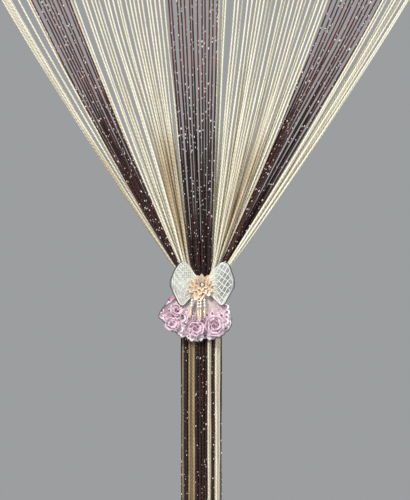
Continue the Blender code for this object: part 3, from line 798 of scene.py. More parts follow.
class CURTAIN_OT_strings(bpy.types.Operator):
    """Make the seven bands of twisted strings, with foil flecks in the dark ones"""

    bl_idname = "curtain.strings"
    bl_label = "Strings"

    def execute(self, context):
        looks = context.scene.curtain_strings
        cream = twisted_finish("cream_string", looks, dark=False)
        brown = twisted_finish("brown_string", looks, dark=True)
        foil = foil_finish(looks)
        strings = lay_out_strings()
        rng = np.random.default_rng(11)
        for band in BANDS:
            dark = "brown" in band.name
            bm = start_mesh()
            thread, tan = bm.verts.layers.float.new("thread"), bm.verts.layers.float.new("tan")
            chips = []
            for string in [string for string in strings if string.band == band.name]:
                path = string_path(string, looks.step, looks.wander)
                swell = 1 + 0.05 * np.sin(np.arange(len(path)) * 0.9 + string.number)
                swell *= 1 + (DARK_SWELL if dark else CREAM_SWELL) * soft_rise(path[:, 2], *FULLER)
                swell[-1] = 0.6
                own = rng.random()
                thick = looks.dark_thickness if dark else looks.thickness
                for vert in roll_tube(bm, path, thick / 2 * swell):
                    vert[thread] = own
                    # The tan layer holds a cream string's own tan with painted shade, and a dark string's
                    # painted shade where the strings crowd
                    vert[tan] = (self.painted_crowd_shade_at if dark else self.tan_and_painted_shade_at)(string, vert.co.z, own)
                if dark:
                    chips += self.fleck_places(string, path, looks, rng)
            self.add_root_strip(bm, band)
            close_tubes(bm)
            if chips:
                strew_chips(bm, chips, 1)
            add_piece(band.name.replace("strings", "twisted"), bm, (brown, foil) if dark else (cream,),
                      band.name)
        return {'FINISHED'}

    @staticmethod
    def tan_and_painted_shade_at(string, height, own):
        """How tan a cream string is: its bunch's own tan, and painted shade that grows where the strings
        crowd together towards the tie and below it.
        """
        crowded = fallen(height, *TAN_CROWDS)
        near = fallen(height, *TAN_NEARS)
        below = fallen(height, *TAN_DEEPENS) * (1.35 if string.slot < 0 else 0.35)
        return string.tan * (0.15 + 0.85 * crowded) * (1 - 0.5 * near) + 0.2 * (own - 0.5) + below

    @staticmethod
    def painted_crowd_shade_at(string, height, own):
        """How dark a dark string is: painted shade, most from where the strings crowd together down to its
        end.
        """
        fan = 0.92 if string.band == "strings_brown_middle" else 0.72
        below = fallen(height, *DARK_DEEPENS)
        return fan * fallen(height, *DARK_CROWDS) + (0.92 - fan) * below + 0.16 * (own - 0.5)

    @staticmethod
    def fleck_places(string, path, looks, rng):
        """Places of the foil flecks on one string's surface."""
        count = int(STRING_CUT / looks.fleck_gap)
        thin = FLECKS_THIN_MIDDLE if string.band == "strings_brown_middle" else FLECKS_THIN
        places = []
        for row in np.sort(rng.integers(2, len(path) - 2, count)):
            crowded = fallen(path[row][2], *thin)
            if rng.random() < FLECK_SKIPPED * crowded:
                continue
            along = Vector(path[row + 1] - path[row]).normalized()
            way = rng.random() * math.tau
            side = along.cross(Vector(FRONT)).normalized()
            out = side * math.cos(way) + side.cross(along) * math.sin(way)
            shift = along * (rng.random() - 0.5) * looks.step
            big = (0.7 + 0.8 * rng.random() ** 2) * (1 - 0.25 * crowded)
            size = (FLECK_SIZE[0] * big, FLECK_SIZE[1] * big, FLECK_SIZE[2])
            reach = looks.dark_thickness / 2 * (1 + DARK_SWELL * soft_rise(path[row][2], *FULLER))
            places.append((Vector(path[row]) + shift + out * reach, along, out, size))
        return places

    @staticmethod
    def add_root_strip(bm, band):
        """The narrow sewn strip that the band's strings hang from."""
        wide = (band.right - band.left) * MM - 0.6 * MM
        made = bmesh.ops.create_cube(bm, size=1.0)["verts"]
        bmesh.ops.scale(bm, vec=(wide, 3.0 * MM, ROOT_DROP), verts=made)
        middle = ((band.left + band.right) / 2 * MM, 0, ROOT_TOP - ROOT_DROP / 2)
        bmesh.ops.translate(bm, vec=middle, verts=made)
        edges = list({edge for vert in made for edge in vert.link_edges})
        bmesh.ops.bevel(bm, geom=edges, offset=0.8 * MM, segments=2, profile=0.5, affect='EDGES',
                        material=-1)


class CURTAIN_OT_heading(bpy.types.Operator):
    """Make the rod-pocket heading of woven cloth with its two rows of stitches"""

    bl_idname = "curtain.heading"
    bl_label = "Heading"

    half_deep = SLEEVE_DEPTH / 2 - HEADING_WALL / 2
    half_high = (HEADING_DROP - HEADING_SEAM) / 2 - HEADING_WALL / 2
    middle = -(HEADING_DROP - HEADING_SEAM) / 2
    seam_rise = 12 * MM
    seam_from = 0.90
    columns = 200
    rows = 48
    cloth_wall = 1.3 * MM
    # A row for each row of stitches: its height, and how far it lies from the strip's middle
    stitch_rows = ((-53.0 * MM, 2.6 * MM), (-57.5 * MM, 1.75 * MM))

    def place(self, across, down):
        """A point of the folded strip: up the front, over the top and down the back."""
        turn = (down - 0.5) * math.tau
        foot = smooth((abs(down - 0.5) * 2 - self.seam_from) / (1 - self.seam_from))
        deep = self.half_deep * math.sin(turn * (1 - 0.06 * foot))
        high = self.middle + self.half_high * math.cos(turn)
        wave = 0.5 * MM * math.sin(across * 90 + math.cos(turn) * 2) + 0.4 * MM * math.sin(across * 203)
        side = 1 if down > 0.5 else -1
        deep = deep * (1 - foot) + side * HEADING_WALL / 2 * foot + wave * math.sin(turn) * (1 - foot)
        high = high * (1 - foot) + (-HEADING_DROP + self.seam_rise * (1 - foot)) * foot
        return Vector(((across - 0.5) * WIDTH, deep, high))

    def execute(self, context):
        looks = context.scene.curtain_heading
        cloth = woven_finish("heading_cloth", looks.cloth, 1.1 * MM)
        thread = thread_finish("sewing_thread", looks.thread)
        bm = start_mesh()
        lay_grid(bm, self.columns, self.rows, self.place)
        piece = add_piece("woven_heading", bm, (cloth,), "heading_sleeve")
        thicken(piece, self.cloth_wall)
        bm = start_mesh()
        count = int(WIDTH / looks.stitch)
        places, size = [], (looks.stitch * 0.72, 0.6 * MM, 0.5 * MM)
        along = Vector((1, 0, 0))
        for side in (-1, 1):
            out = Vector((0, side, 0))
            for height, deep in self.stitch_rows:
                for stitch in range(count):
                    x = (stitch + 0.5) / count * WIDTH - WIDTH / 2
                    places.append((Vector((x, side * deep, height)), along, out, size))
        strew_chips(bm, places, 0)
        stitches = add_piece("heading_stitches", bm, (thread,))
        return {'FINISHED'}


def tie_point(turn, drop, out=0.0):
    """A point on the tie: an angle from straight ahead, a share down it, and how far out."""
    wide = TIE_HALF_WIDE + TIE_WALL / 2 + out
    deep = TIE_HALF_DEEP + TIE_WALL / 2 + out
    height = TIE_TOP + (TIE_FOOT - TIE_TOP) * drop
    return Vector((TIE_X + math.sin(turn) * wide, -math.cos(turn) * deep, height))


class CURTAIN_OT_tie(bpy.types.Operator):
    """Make the ribbed elastic that holds the strings in"""

    bl_idname = "curtain.tie"
    bl_label = "Tie"

    ribs = 6
    rib = 0.22 * MM
    gathers = 44
    gather = 0.12 * MM

    def execute(self, context):
        looks = context.scene.curtain_ornament
        finish = thread_finish("ribbed_elastic", looks.ivory, 0.65)
        bm = start_mesh()

        def place(across, down):
            rib = self.rib * math.sin(down * math.tau * self.ribs)
            gather = self.gather * math.sin(across * math.tau * self.gathers)
            return tie_point(across * math.tau, down, rib + gather)

        lay_grid(bm, self.gathers * 6, self.ribs * 6, place)
        bmesh.ops.remove_doubles(bm, verts=bm.verts, dist=MM / 1000)
        piece = thicken(add_piece("elastic_tie", bm, (finish,), "tie_band"), 0.7 * MM)
        return {'FINISHED'}


def bow_section(out, wing):
    """A wing's lowest and highest edge and its forward place at any distance from the middle."""
    near = out + BOW_SMOOTHED * np.array((-1.0, -0.5, 0.0, 0.5, 1.0))
    outs, *sides = zip(*wing)
    return [float(np.interp(near, outs, side).mean()) for side in sides]


def bow_point(across, up, lift=0.0, ripple=0.0, reach=LACE_REACH):
    """A point on the bow from shares across both wings and up them, lifted forward."""
    left, right = BOW_LEFT[-1].out, BOW_RIGHT[-1].out
    x = -left + (left + right) * across
    out = abs(x)
    low, high, forward = bow_section(out, BOW_LEFT if x < 0 else BOW_RIGHT)
    pleat = BOW_PLEAT * math.cos(math.tau * BOW_PLEATS * up) * smooth(1 - out / BOW_PLEATS_TO)
    curl = BOW_CURL * (2 * up - 1) ** 2 * smooth(out / BOW_CURLED_BY)
    fold = 0.5 + 0.5 * math.sin(up * BOW_FOLDS + BOW_FOLD_SWAY * math.sin(up * BOW_FOLD_SWAYS + x * 0.12))
    gathered = smooth(1.15 - out / 27) * smooth(out / 5 - 0.2)
    end = left if x < 0 else right
    x *= 1 - BOW_ROUNDED * (2 * up - 1) ** 2 * smooth((out / end - 0.6) / 0.4)
    return Vector((TIE_X + x * reach * MM, (-forward - pleat + curl) * MM - lift - ripple * fold * gathered,
                   TIE_MID + (low + (high - low) * up) * MM))


class CURTAIN_OT_bow(bpy.types.Operator):
    """Make the bow of corded net over its fine pleated backing"""

    bl_idname = "curtain.bow"
    bl_label = "Bow"

    # The net's diamonds in millimetres, and the wings' height up to where they round off
    wide = 7.4
    high = 8.2
    spread = 50.0
    rounds_from = 20.0
    margin = 0.985
    # How far the left wing's net slides over towards the pinch at its foot
    slide = 44.0
    lines = 9
    line_step = 0.8
    backing_columns = 140
    backing_rows = 84
    rim_steps = 90
    side_steps = 14
    # A row for each cord round the bow: how far in from its edge, and its share of the edge cord's radius
    rims = ((0.010, 1.0), (0.045, 2 / 3.4))
    rim_lift = 0.30 * MM
    backing_gap = 0.35 * MM
    backing_ripple = 1.5 * MM
    backing_wall = 0.2 * MM

    def net_cords(self):
        """The net's two sets of slanting cords, each a row of shares across the wings and up them."""
        left, right = BOW_LEFT[-1].out, BOW_RIGHT[-1].out
        for lean in (-1, 1):
            for line in range(-self.lines, self.lines + 1):
                path = []
                for x in np.arange(self.line_step - left, right - self.line_step / 2, self.line_step):
                    out = abs(x)
                    low, high, _ = bow_section(out, BOW_LEFT if x < 0 else BOW_RIGHT)
                    spread = self.spread + (high - low - self.spread) * smooth((out - self.rounds_from) / 6)
                    up = 0.5 + lean * (x - (line + 0.25) * self.wide) * self.high / self.wide / spread
                    if abs(up - 0.5) < self.margin / 2:
                        slide = self.slide * max(0.0, 0.5 - up) ** 2 * smooth((-x - 4) / 14)
                        path.append(((x + slide + left) / (left + right), up))
                if len(path) > 3:
                    yield lean, path

    def rim(self, inset):
        """Points round the whole bow, a share in from its edge."""
        near, far = inset, 1 - inset
        corners = ((near, far), (far, far), (far, near), (near, near))
        points = []
        sides = zip(corners, corners[1:] + corners[:1], (self.rim_steps, self.side_steps) * 2)
        for start, end, steps in sides:
            points += [[a + (b - a) * step / steps for a, b in zip(start, end)] for step in range(steps)]
        return [bow_point(across, up, self.rim_lift) for across, up in (*points, corners[0])]

    @staticmethod
    def stiff_line(left):
        """Points of the line that spans a wing's outer end, from its upper tip to its lower one."""
        end = BOW_LEFT[-1].out if left else BOW_RIGHT[-1].out
        side = -1 if left else 1
        outs = list(np.linspace(LINE_FROM, end, 26))
        places = [(out, 1.0) for out in outs] + [(end, 1 - step / 10) for step in range(1, 10)]
        places += [(out, 0.0) for out in reversed(outs)]
        wide = BOW_LEFT[-1].out + BOW_RIGHT[-1].out
        return [bow_point((BOW_LEFT[-1].out + side * out) / wide, up, reach=1.0) for out, up in places]

    def execute(self, context):
        looks = context.scene.curtain_ornament
        cord = self.cord_finish(looks)
        white = thread_finish("bow_edge_cord", looks.ivory, 0.55)
        nylon = thread_finish("nylon_line", looks.nylon, 0.3)
        bm = start_mesh()
        for lean, path in self.net_cords():
            radius = [looks.net_cord / 2 * (0.8 + 0.45 * smooth((across - 0.6) / 0.2)) for across, _ in path]
            points = [bow_point(across, up, lean * looks.net_cord / 4) for across, up in path]
            roll_tube(bm, points, radius, 6)
        close_tubes(bm)
        net = add_piece("bow_net", bm, (cord,), "lace_bow")

        bm = start_mesh()
        for inset, share in self.rims:
            roll_tube(bm, self.rim(inset), looks.edge_cord / 2 * share, 8)
        close_tubes(bm)
        plain = set(bm.faces)
        for left in (True, False):
            roll_tube(bm, self.stiff_line(left), looks.nylon_cord / 2, 8)
        close_tubes(bm)
        give_finish(set(bm.faces) - plain, 1)
        rims = add_piece("bow_edge_cords", bm, (white, nylon))

        bm = start_mesh()
        lay_grid(bm, self.backing_columns, self.backing_rows,
                 lambda across, down: bow_point(across, 1 - down, -self.backing_gap, self.backing_ripple))
        fine = self.backing_finish(looks)
        veil = thicken(add_piece("bow_backing", bm, (fine,)), self.backing_wall)
        return {'FINISHED'}

    @staticmethod
    def cord_finish(looks):
        """Matt cord, white at the wings' ends and creamy at the pinch."""
        made, shader, start = new_finish("net_cord", roughness=0.6, Sheen_Weight=0.15)
        spot = start.spot()
        inner = abs(spot.part("X") - TIE_X).soft(20 * MM, 8 * MM)
        shown = start.mix(inner, looks.ivory, looks.cream)
        shown = start.mix(spot.noise(260.0).soft(0.45, 0.75) * 0.3, shown, tone(206, 206, 194))
        feed(shader, Base_Color=shown, Normal=start.bump(spot.noise(1800.0, 1.0), 0.08 * MM, 0.5))
        return made

    @staticmethod
    def backing_finish(looks):
        """Fine net in tiny diamonds: close and creamy at the pinch, sheer at the right wing's edge, with
        painted shade in the valleys of its pleats.
        """
        made, shader, start = new_finish("bow_backing", roughness=0.6)
        sheet = start.node("ShaderNodeUVMap")
        across, up = sheet.part("X"), sheet.part("Y")
        place = start.spot()
        x, z = place.part("X"), place.part("Z")
        pitch = math.tau / (1.5 * MM)
        mesh = ((x + z) * pitch).sine() * ((x - z) * pitch).sine()
        apart = math.tau / (4.4 * MM)
        hole = ((x + z * 0.8) * apart).sine() * ((x - z * 0.8) * apart).sine()
        cloud = place.noise(150.0, 3.0)
        inner = abs(across - 0.5).soft(0.34, 0.16)
        right = across.soft(0.60, 0.74)
        foot_left = across.soft(0.48, 0.36) * up.soft(0.46, 0.22)
        top_left = across.soft(0.44, 0.30) * up.soft(0.52, 0.72)
        window = right * up.soft(0.06, 0.26) * up.soft(0.88, 0.70)
        shown = start.mix(window, looks.haze, looks.smoke)
        shown = start.mix(right * up.soft(0.72, 0.86) * 0.85, shown, tone(172, 166, 180))
        shown = start.mix(cloud.soft(0.45, 0.68) * (1.0 - window * 0.6) * 0.5, shown, looks.ivory)
        shown = start.mix(foot_left * 0.85, shown, tone(204, 194, 190))
        shown = start.mix(inner * 0.85, shown, looks.cream)
        fold = (up * BOW_FOLDS + (up * BOW_FOLD_SWAYS).sine() * BOW_FOLD_SWAY).sine()
        # Painted shade in the valleys of the pleats near the pinch
        painted_pleat_shade = fold.soft(-0.1, -1.0) * inner * (0.45 - across.soft(0.47, 0.53) * 0.30)
        shown = start.mix(painted_pleat_shade, shown, tone(196, 190, 160))
        dotted = hole.soft(0.15, 0.5) * (top_left * 0.72 + foot_left * 0.2)
        shown = start.mix(dotted, shown, tone(104, 108, 104))
        clear = inner.maths('MAXIMUM', inner, 0.92 - right * 0.30 - mesh.soft(0.3, 0.9) * 0.2)
        feed(shader, Base_Color=shown, Alpha=clear)
        return made


def petal_point(ring, petal, along, aside):
    """A point of a petal: its number, a share out along it and a share aside of its crease."""
    odd = math.sin(petal * 2.7 + ring.petals)
    way = petal / ring.petals * math.tau + ring.turn + 0.07 * odd
    droop = max(0.0, math.cos(way - math.radians(DROOP_WAY)))
    reach = ring.tip * (1 + ring.droop / ring.tip * droop) * (1 + 0.06 * math.sin(petal * 4.1))
    leaf = math.sin(math.pi * (0.12 + 0.68 * along)) ** 0.6
    out = reach * (PETAL_START + PETAL_GROWTH * along - PETAL_TAPER * abs(aside) ** ring.point * along ** 3)
    wide = ring.width * (ring.full + 0.20 * droop + 0.05 * odd) * leaf * aside
    fold = (PETAL_CREASE + 0.4 * odd) * abs(aside) ** 1.4 * leaf - PETAL_TROUGH * math.sin(along * math.pi)
    stack = PETAL_STACK * (petal % 2) * along
    forward = ring.seat + ring.cup * out + fold - stack + 0.25 * odd
    x = math.cos(way) * out - math.sin(way) * wide
    z = math.sin(way) * out + math.cos(way) * wide
    return Vector((FLOWER_X + x * MM, -forward * MM, FLOWER_Z + z * MM))


class CURTAIN_OT_flower(bpy.types.Operator):
    """Make the flower's three rings of creased petals and its faceted stone"""

    bl_idname = "curtain.flower"
    bl_label = "Flower"

    columns = 8
    rows = 10
    petal_wall = 0.4 * MM

    def execute(self, context):
        looks = context.scene.curtain_ornament
        satin = self.petal_finish(looks)
        for ring in FLOWER:
            bm = start_mesh()
            tint = bm.verts.layers.float.new("tint")
            for petal in range(ring.petals):
                made = lay_grid(bm, self.columns, self.rows, lambda across, down, petal=petal:
                                petal_point(ring, petal, down, across * 2 - 1))
                for vert in made:
                    vert[tint] = 0.5 + 0.5 * math.sin(petal * 5.3 + ring.petals)
            bmesh.ops.remove_doubles(bm, verts=bm.verts, dist=MM / 100)
            piece = add_piece(ring.name, bm, (satin,), ring.node)
            thicken(piece, self.petal_wall, subdivide=1)
        self.add_stone(looks)
        return {'FINISHED'}

    @staticmethod
    def petal_finish(looks):
        """Peach satin with a painted highlight on its rims, tips and upper petals, and painted shade where
        the petals meet and along their creases.
        """
        made, shader, start = new_finish("petal_satin", roughness=0.5, Sheen_Weight=0.3, Sheen_Roughness=0.3)
        place = start.node("ShaderNodeUVMap")
        out = 1.0 - place.part("Y")
        aside = abs(place.part("X") - 0.5) * 2.0
        spot = start.spot()
        tint = start.attribute("tint")
        # Painted highlight on the rims and tips, with a paler tint on some petals
        shown = start.mix((aside.soft(0.50, 1.0) * 0.7 + out.soft(0.70, 1.0) * 0.7 + tint * 0.4).clamp(),
                          looks.peach, looks.petal_rim)
        # Painted highlight: the upper petals paler
        high = spot.part("Z").soft(FLOWER_Z + 1 * MM, FLOWER_Z + 6 * MM)
        shown = start.mix(high * 0.85, shown, looks.petal_rim)
        # Painted shade at the petals' roots, where they meet, and along their creases
        root = out.soft(0.62, 0.10) * 0.9 + aside.soft(0.22, 0.0) * out.soft(0.95, 0.55) * 0.7
        shown = start.mix((root + (spot.noise(420.0) - 0.5) * 0.4).clamp(), shown, looks.petal_root)
        vein = (aside * 30.0).sine()
        feed(shader, Base_Color=shown, Normal=start.bump(vein, 0.05 * MM, 0.5))
        return made

    @staticmethod
    def add_stone(looks):
        """The stone in its dark claw setting, with pale claws; its beads are dark at the sides and pale
        above and below, painted shade and highlight.
        """
        # The stone's near-white pink is a painted highlight over its lilac
        crystal, _, _ = new_finish("lilac_stone", roughness=0.04, Base_Color=looks.stone, IOR=1.75,
                                   Coat_Weight=1.0, Coat_Roughness=0.03, Transmission_Weight=0.15)
        dark_setting_and_painted_shade, _, _ = new_finish("stone_setting", roughness=0.35, metallic=0.9, Base_Color=tone(78, 62, 84))
        claws_and_painted_highlight, _, _ = new_finish("stone_claw_tips", roughness=0.3, metallic=0.6,
                                  Base_Color=tone(232, 216, 214))
        bm = start_mesh()
        middle = Vector((FLOWER_X, -STONE_SEAT, FLOWER_Z))
        profile = ((STONE_BACK, 0.0), (STONE_RADIUS * 0.9, 0.9 * MM), (STONE_RADIUS, 1.2 * MM),
                   (STONE_RADIUS * 0.97, 1.4 * MM), (STONE_TABLE, STONE_DEPTH))
        verts = [bm.verts.new(middle + Vector((radius, -deep, 0))) for radius, deep in profile]
        edges = [bm.edges.new(pair) for pair in zip(verts, verts[1:])]
        bmesh.ops.spin(bm, geom=verts + edges, cent=middle, axis=(0, 1, 0), angle=math.tau, steps=10,
                       use_merge=True)
        bmesh.ops.holes_fill(bm, edges=[edge for edge in bm.edges if edge.is_boundary], sides=0)
        stone = add_piece("faceted_stone", bm, (crystal,), "flower_stone")
        stone.data.shade_flat()
        bm = start_mesh()
        girdle = middle - Vector((0, 1.0 * MM, 0))
        for bead in range(STONE_BEADS):
            way = bead / STONE_BEADS * math.tau
            out = Vector((math.cos(way), 0, math.sin(way)))
            round_bead = bmesh.ops.create_uvsphere(bm, u_segments=8, v_segments=6, radius=0.5 * MM)["verts"]
            bmesh.ops.translate(bm, vec=girdle + out * STONE_RADIUS * 1.28, verts=round_bead)
            # Painted shade and highlight: the beads at the sides dark, those above and below pale
            give_finish(faces_of(round_bead), 0 if abs(out.x) > 0.6 else 1)
        for claw in range(STONE_CLAWS):
            way = (claw + 0.5) / STONE_CLAWS * math.tau
            out = Vector((math.cos(way), 0, math.sin(way)))
            root = girdle + out * STONE_RADIUS * 1.15
            tip = girdle + out * STONE_RADIUS * 0.84 - Vector((0, 0.9 * MM, 0))
            prong = bmesh.ops.create_uvsphere(bm, u_segments=10, v_segments=6, radius=0.36 * MM)["verts"]
            give_finish(faces_of(prong), 1)
            for vert in prong:
                share = 0.5 + vert.co.z / (0.72 * MM)
                vert.co = root.lerp(tip, share) + Vector((vert.co.x, vert.co.y, 0))
        add_piece("stone_claws", bm, (dark_setting_and_painted_shade, claws_and_painted_highlight))


class CURTAIN_OT_drops(bpy.types.Operator):
    """Make the four drops of pearls and gilt long beads on their threads"""

    bl_idname = "curtain.drops"
    bl_label = "Bead drops"

    # A row for each bead down a drop: share of the drop's length, radius and half length in mm
    beads = (("pearl", 0.215, 1.5, 1.5), ("pearl", 0.322, 1.5, 1.5), ("pearl", 0.429, 1.5, 1.5),
             ("seed", 0.497, 0.9, 0.6), ("long", 0.700, 1.05, 5.3), ("seed", 0.900, 0.8, 0.6))
    thread_to = 0.9
    thread_radius = 0.3 * MM

    def execute(self, context):
        looks = context.scene.curtain_ornament
        pearl = self.pearl_finish(looks)
        gilt, _, _ = new_finish("gilt_bead", roughness=0.3, metallic=0.15, Base_Color=looks.gilt,
                                Coat_Weight=0.6)
        thread = thread_finish("bead_thread", looks.pearl)
        petals = FLOWER[0]
        for index, drop in enumerate(DROPS, start=1):
            across = TIE_X + (drop.across - drop.slant) * MM
            reach = math.hypot(across - FLOWER_X, DROP_TOP - FLOWER_Z)
            head = Vector((across, -(petals.seat * MM + petals.cup * reach - DROP_CLEAR), DROP_TOP))
            foot = Vector((TIE_X + drop.across * MM, -DROP_FOOT_DEPTH, DROP_TOP - drop.length * MM))
            way = (foot - head).normalized()
            turn = Vector((0, 0, -1)).rotation_difference(way).to_matrix()
            bm = start_mesh()
            roll_tube(bm, [head.lerp(foot, share) for share in np.linspace(0, self.thread_to, 13)],
                      self.thread_radius, 6)
            close_tubes(bm)
            give_finish(bm.faces, 2)
            for kind, share, radius, half in self.beads:
                centre = head.lerp(foot, share)
                if kind == "long":
                    made = bmesh.ops.create_cone(bm, cap_ends=True, segments=10, radius1=radius * MM,
                                                 radius2=radius * MM, depth=2 * half * MM)["verts"]
                    rim = [edge for edge in {e for v in made for e in v.link_edges}
                           if abs(edge.verts[0].co.z - edge.verts[1].co.z) < MM / 1000]
                    made = bmesh.ops.bevel(bm, geom=rim, offset=0.3 * MM, segments=2, profile=0.5,
                                           affect='EDGES', material=-1)["verts"] + made
                else:
                    made = bmesh.ops.create_uvsphere(bm, u_segments=20, v_segments=12,
                                                     radius=radius * MM)["verts"]
                    bmesh.ops.scale(bm, vec=(1, 1, half / radius), verts=made)
                made = [vert for vert in set(made) if vert.is_valid]
                for vert in made:
                    vert.co = centre + turn @ vert.co
                give_finish(faces_of(made), 0 if kind == "pearl" else 1)
            piece = add_piece(f"pearl_drop_{index}", bm, (pearl, gilt, thread), f"bead_drop_{index}")
            piece.data.set_sharp_from_angle(angle=math.radians(50))
        return {'FINISHED'}

    @staticmethod
    def pearl_finish(looks):
        """Pearl: a warm body with a clear coat."""
        made, shader, start = new_finish("pearl_bead", roughness=0.25, Coat_Weight=0.7, Coat_Roughness=0.08,
                                         Sheen_Weight=0.3)
        spot = start.spot()
        shown = start.mix(spot.noise(500.0).soft(0.5, 0.8) * 0.3, looks.pearl, tone(222, 210, 214))
        feed(shader, Base_Color=shown)
        return made


def along_rays(place, value):
    """A smooth value at any place along the frill's rays, from 0 to 1."""
    where = place * (len(FRILL) - 1)
    first = min(int(where), len(FRILL) - 2)
    share = where - first
    near = [min(max(first + step, 0), len(FRILL) - 1) for step in (-1, 0, 1, 2)]
    a, b, c, d = (getattr(FRILL[ray], value) for ray in near)
    return b + 0.5 * share * (c - a + share * (2 * a - 5 * b + 4 * c - d + share * (3 * (b - c) + d - a)))


def frill_point(across, down, lift=0.0):
    """A point on the frill from shares across its rays and down them, lifted forward."""
    ray_angle = along_rays(across, "angle")
    angle = math.radians(ray_angle) * (FRILL_GATHER + (1 - FRILL_GATHER) * smooth(down / FRILL_SPREAD_BY))
    reach = FRILL_HEAD_REACH + (along_rays(across, "reach") * MM - FRILL_HEAD_REACH) * down
    x = math.sin(angle) * reach + FRILL_HEAD_HALF * (ray_angle / -FRILL[0].angle) * (1 - down)
    oval = math.sqrt(max(0.0, 1 - (x / (TIE_HALF_WIDE + TIE_WALL)) ** 2))
    seat = FRILL_SEAT * (1 - (1 - oval) * max(0.0, 1 - down * 5))
    forward = seat + FRILL_WALL / 2 + along_rays(across, "bulge") * MM * smooth(down / FRILL_FULL_BY)
    ripple = FRILL_RIPPLE * math.sin(across * FRILL_RIPPLES) * smooth(down * 1.2)
    return Vector((TIE_X + x, -forward - ripple - lift, FRILL_HEAD - math.cos(angle) * reach))


class CURTAIN_OT_frill(bpy.types.Operator):
    """Make the gathered lace frill with its eyelets, corded hem and raised curls"""

    bl_idname = "curtain.frill"
    bl_label = "Frill"

    scallops = 21
    scallop = 0.022
    steps_a_scallop = 12
    corded_from = 28
    columns = 300
    rows = 88
    curl_steps = 24
    # A row for each cord along the hem: how far above it as a share of the rays, and its radius
    hem_cords = ((0.024, 0.46 * MM), (0.085, 0.30 * MM))
    # Where the eyelets in the scallops start and end, down the rays and across their scallop
    hem_eyelet = (0.905, 0.945, 0.40, 0.60)
    # The grid of places on the frill that the raised curls are seated on
    seats_across = 160
    seats_down = 60
    seated_from = 0.2

    def hem(self, across):
        """How far down the rays the scalloped hem lies."""
        return 1.0 - self.scallop + self.scallop * abs(math.sin(across * math.pi * self.scallops))

    def execute(self, context):
        looks = context.scene.curtain_ornament
        lace = self.lace_finish(looks)
        cord = thread_finish("lace_cord", looks.pale, 0.5)
        nylon = thread_finish("hem_line", looks.nylon, 0.3)
        bm = start_mesh()
        lay_grid(bm, self.columns, self.rows, lambda across, down: Vector((across, down, 0)))
        ends = [face for face in bm.faces if self.is_hem_eyelet(face.calc_center_median())]
        bmesh.ops.delete(bm, geom=ends, context='FACES')
        for vert in bm.verts:
            across, down, _ = vert.co
            vert.co = frill_point(across, down * self.hem(across))
        curls = list(frill_curls())
        bored = [face for face in bm.faces if self.is_eyelet(face.calc_center_median(), curls)]
        bmesh.ops.delete(bm, geom=bored, context='FACES')
        paint_strokes(bm)
        piece = thicken(add_piece("frill_lace", bm, (lace,), "lace_frill"), 0.5 * MM)

        bm = start_mesh()
        steps = self.scallops * self.steps_a_scallop
        for rise, radius in self.hem_cords:
            roll_tube(bm, [frill_point(step / steps, self.hem(step / steps) - rise, 0.35 * MM)
                           for step in range(self.corded_from, steps + 1)], radius, 6)
        self.raise_curls(bm, curls)
        close_tubes(bm)
        plain = set(bm.faces)
        edge = [frill_point(step / steps, self.hem(step / steps) + 0.008) for step in range(steps + 1)]
        roll_tube(bm, edge, looks.nylon_cord / 2, 6)
        close_tubes(bm)
        give_finish(set(bm.faces) - plain, 1)
        cords = add_piece("frill_cords", bm, (cord, nylon))
        return {'FINISHED'}

    def raise_curls(self, bm, curls):
        """Cords that stand out from the frill along its curls, thin at both ends."""
        seats = np.array([frill_point(across, down) for across in np.linspace(0, 1, self.seats_across + 1)
                          for down in np.linspace(self.seated_from, 1, self.seats_down + 1)])
        rise = np.sin(np.linspace(0.1, math.pi - 0.1, self.curl_steps + 1))
        for row in curls:
            places = curl(row.across, row.down, row.size, row.turn, CURL_SWEEP, self.curl_steps)
            path = [self.on_frill(seats, *place, (0.4 + 1.6 * lift) * row.thick * MM)
                    for place, lift in zip(places, rise)]
            roll_tube(bm, path, row.thick / 2 * MM * (0.35 + 0.65 * rise), 8)

    @staticmethod
    def on_frill(seats, across, down, lift):
        """The point of the frill's front at a place across and down from the tie's middle."""
        place = np.array((TIE_X + across * MM, TIE_MID - down * MM))
        gap = np.linalg.norm(seats[:, (0, 2)] - place, axis=1)
        best = np.argsort(gap)[:4]
        weight = 1 / (gap[best] + 0.1 * MM)
        return Vector((place[0], float((seats[best, 1] * weight).sum() / weight.sum()) - lift, place[1]))

    def is_hem_eyelet(self, spot):
        """True for the faces cut out of the middle of each scallop."""
        inside = spot.x * self.scallops % 1.0
        top, foot, left, right = self.hem_eyelet
        return top < spot.y < foot and left < inside < right

    @staticmethod
    def is_eyelet(spot, curls):
        """True for the faces cut out in the hearts of the curls."""
        across, down = from_tie(spot)
        return any(math.hypot(across - row.across, down - row.down) < EYELET_SHARE * row.size
                   for row in curls)

    @staticmethod
    def lace_finish(looks):
        """Pink lace: cells of fine mesh under a pale raised ground, sheer and grey at its top."""
        made, shader, start = new_finish("pink_lace", roughness=0.7, Sheen_Weight=0.2)
        spot = start.spot()
        down = (TIE_MID - spot.part("Z")) * (1 / MM)
        across = (spot.part("X") - TIE_X) * (1 / MM)
        web = spot.web(620.0)
        leaf = spot.noise(170.0, 2.0)
        shown = lace_ground(start, spot, looks)
        sheer = down.soft(34, 24) * abs(across - 2.0).soft(25, 17)
        shown = start.mix(sheer * 0.85, shown, looks.sheer)
        behind = down.soft(38, 28) * abs(across + 4.0).soft(14, 6)
        shown = start.mix(behind * 0.45, shown, looks.smoke)
        shown = start.mix(down.soft(50, 60) * 0.6, shown, looks.blush)
        shown = start.mix((1.0 - web) * leaf.soft(0.60, 0.42) * 0.35, shown, looks.rose)
        shown = start.mix(web * 0.06, shown, looks.blush)
        clear = 1.0 - (1.0 - web) * (sheer * 0.12 + leaf.soft(0.56, 0.66) * 0.2).clamp()
        feed(shader, Base_Color=shown, Alpha=clear, Normal=start.bump(web + leaf * 1.5, 0.28 * MM, 0.7))
        return made


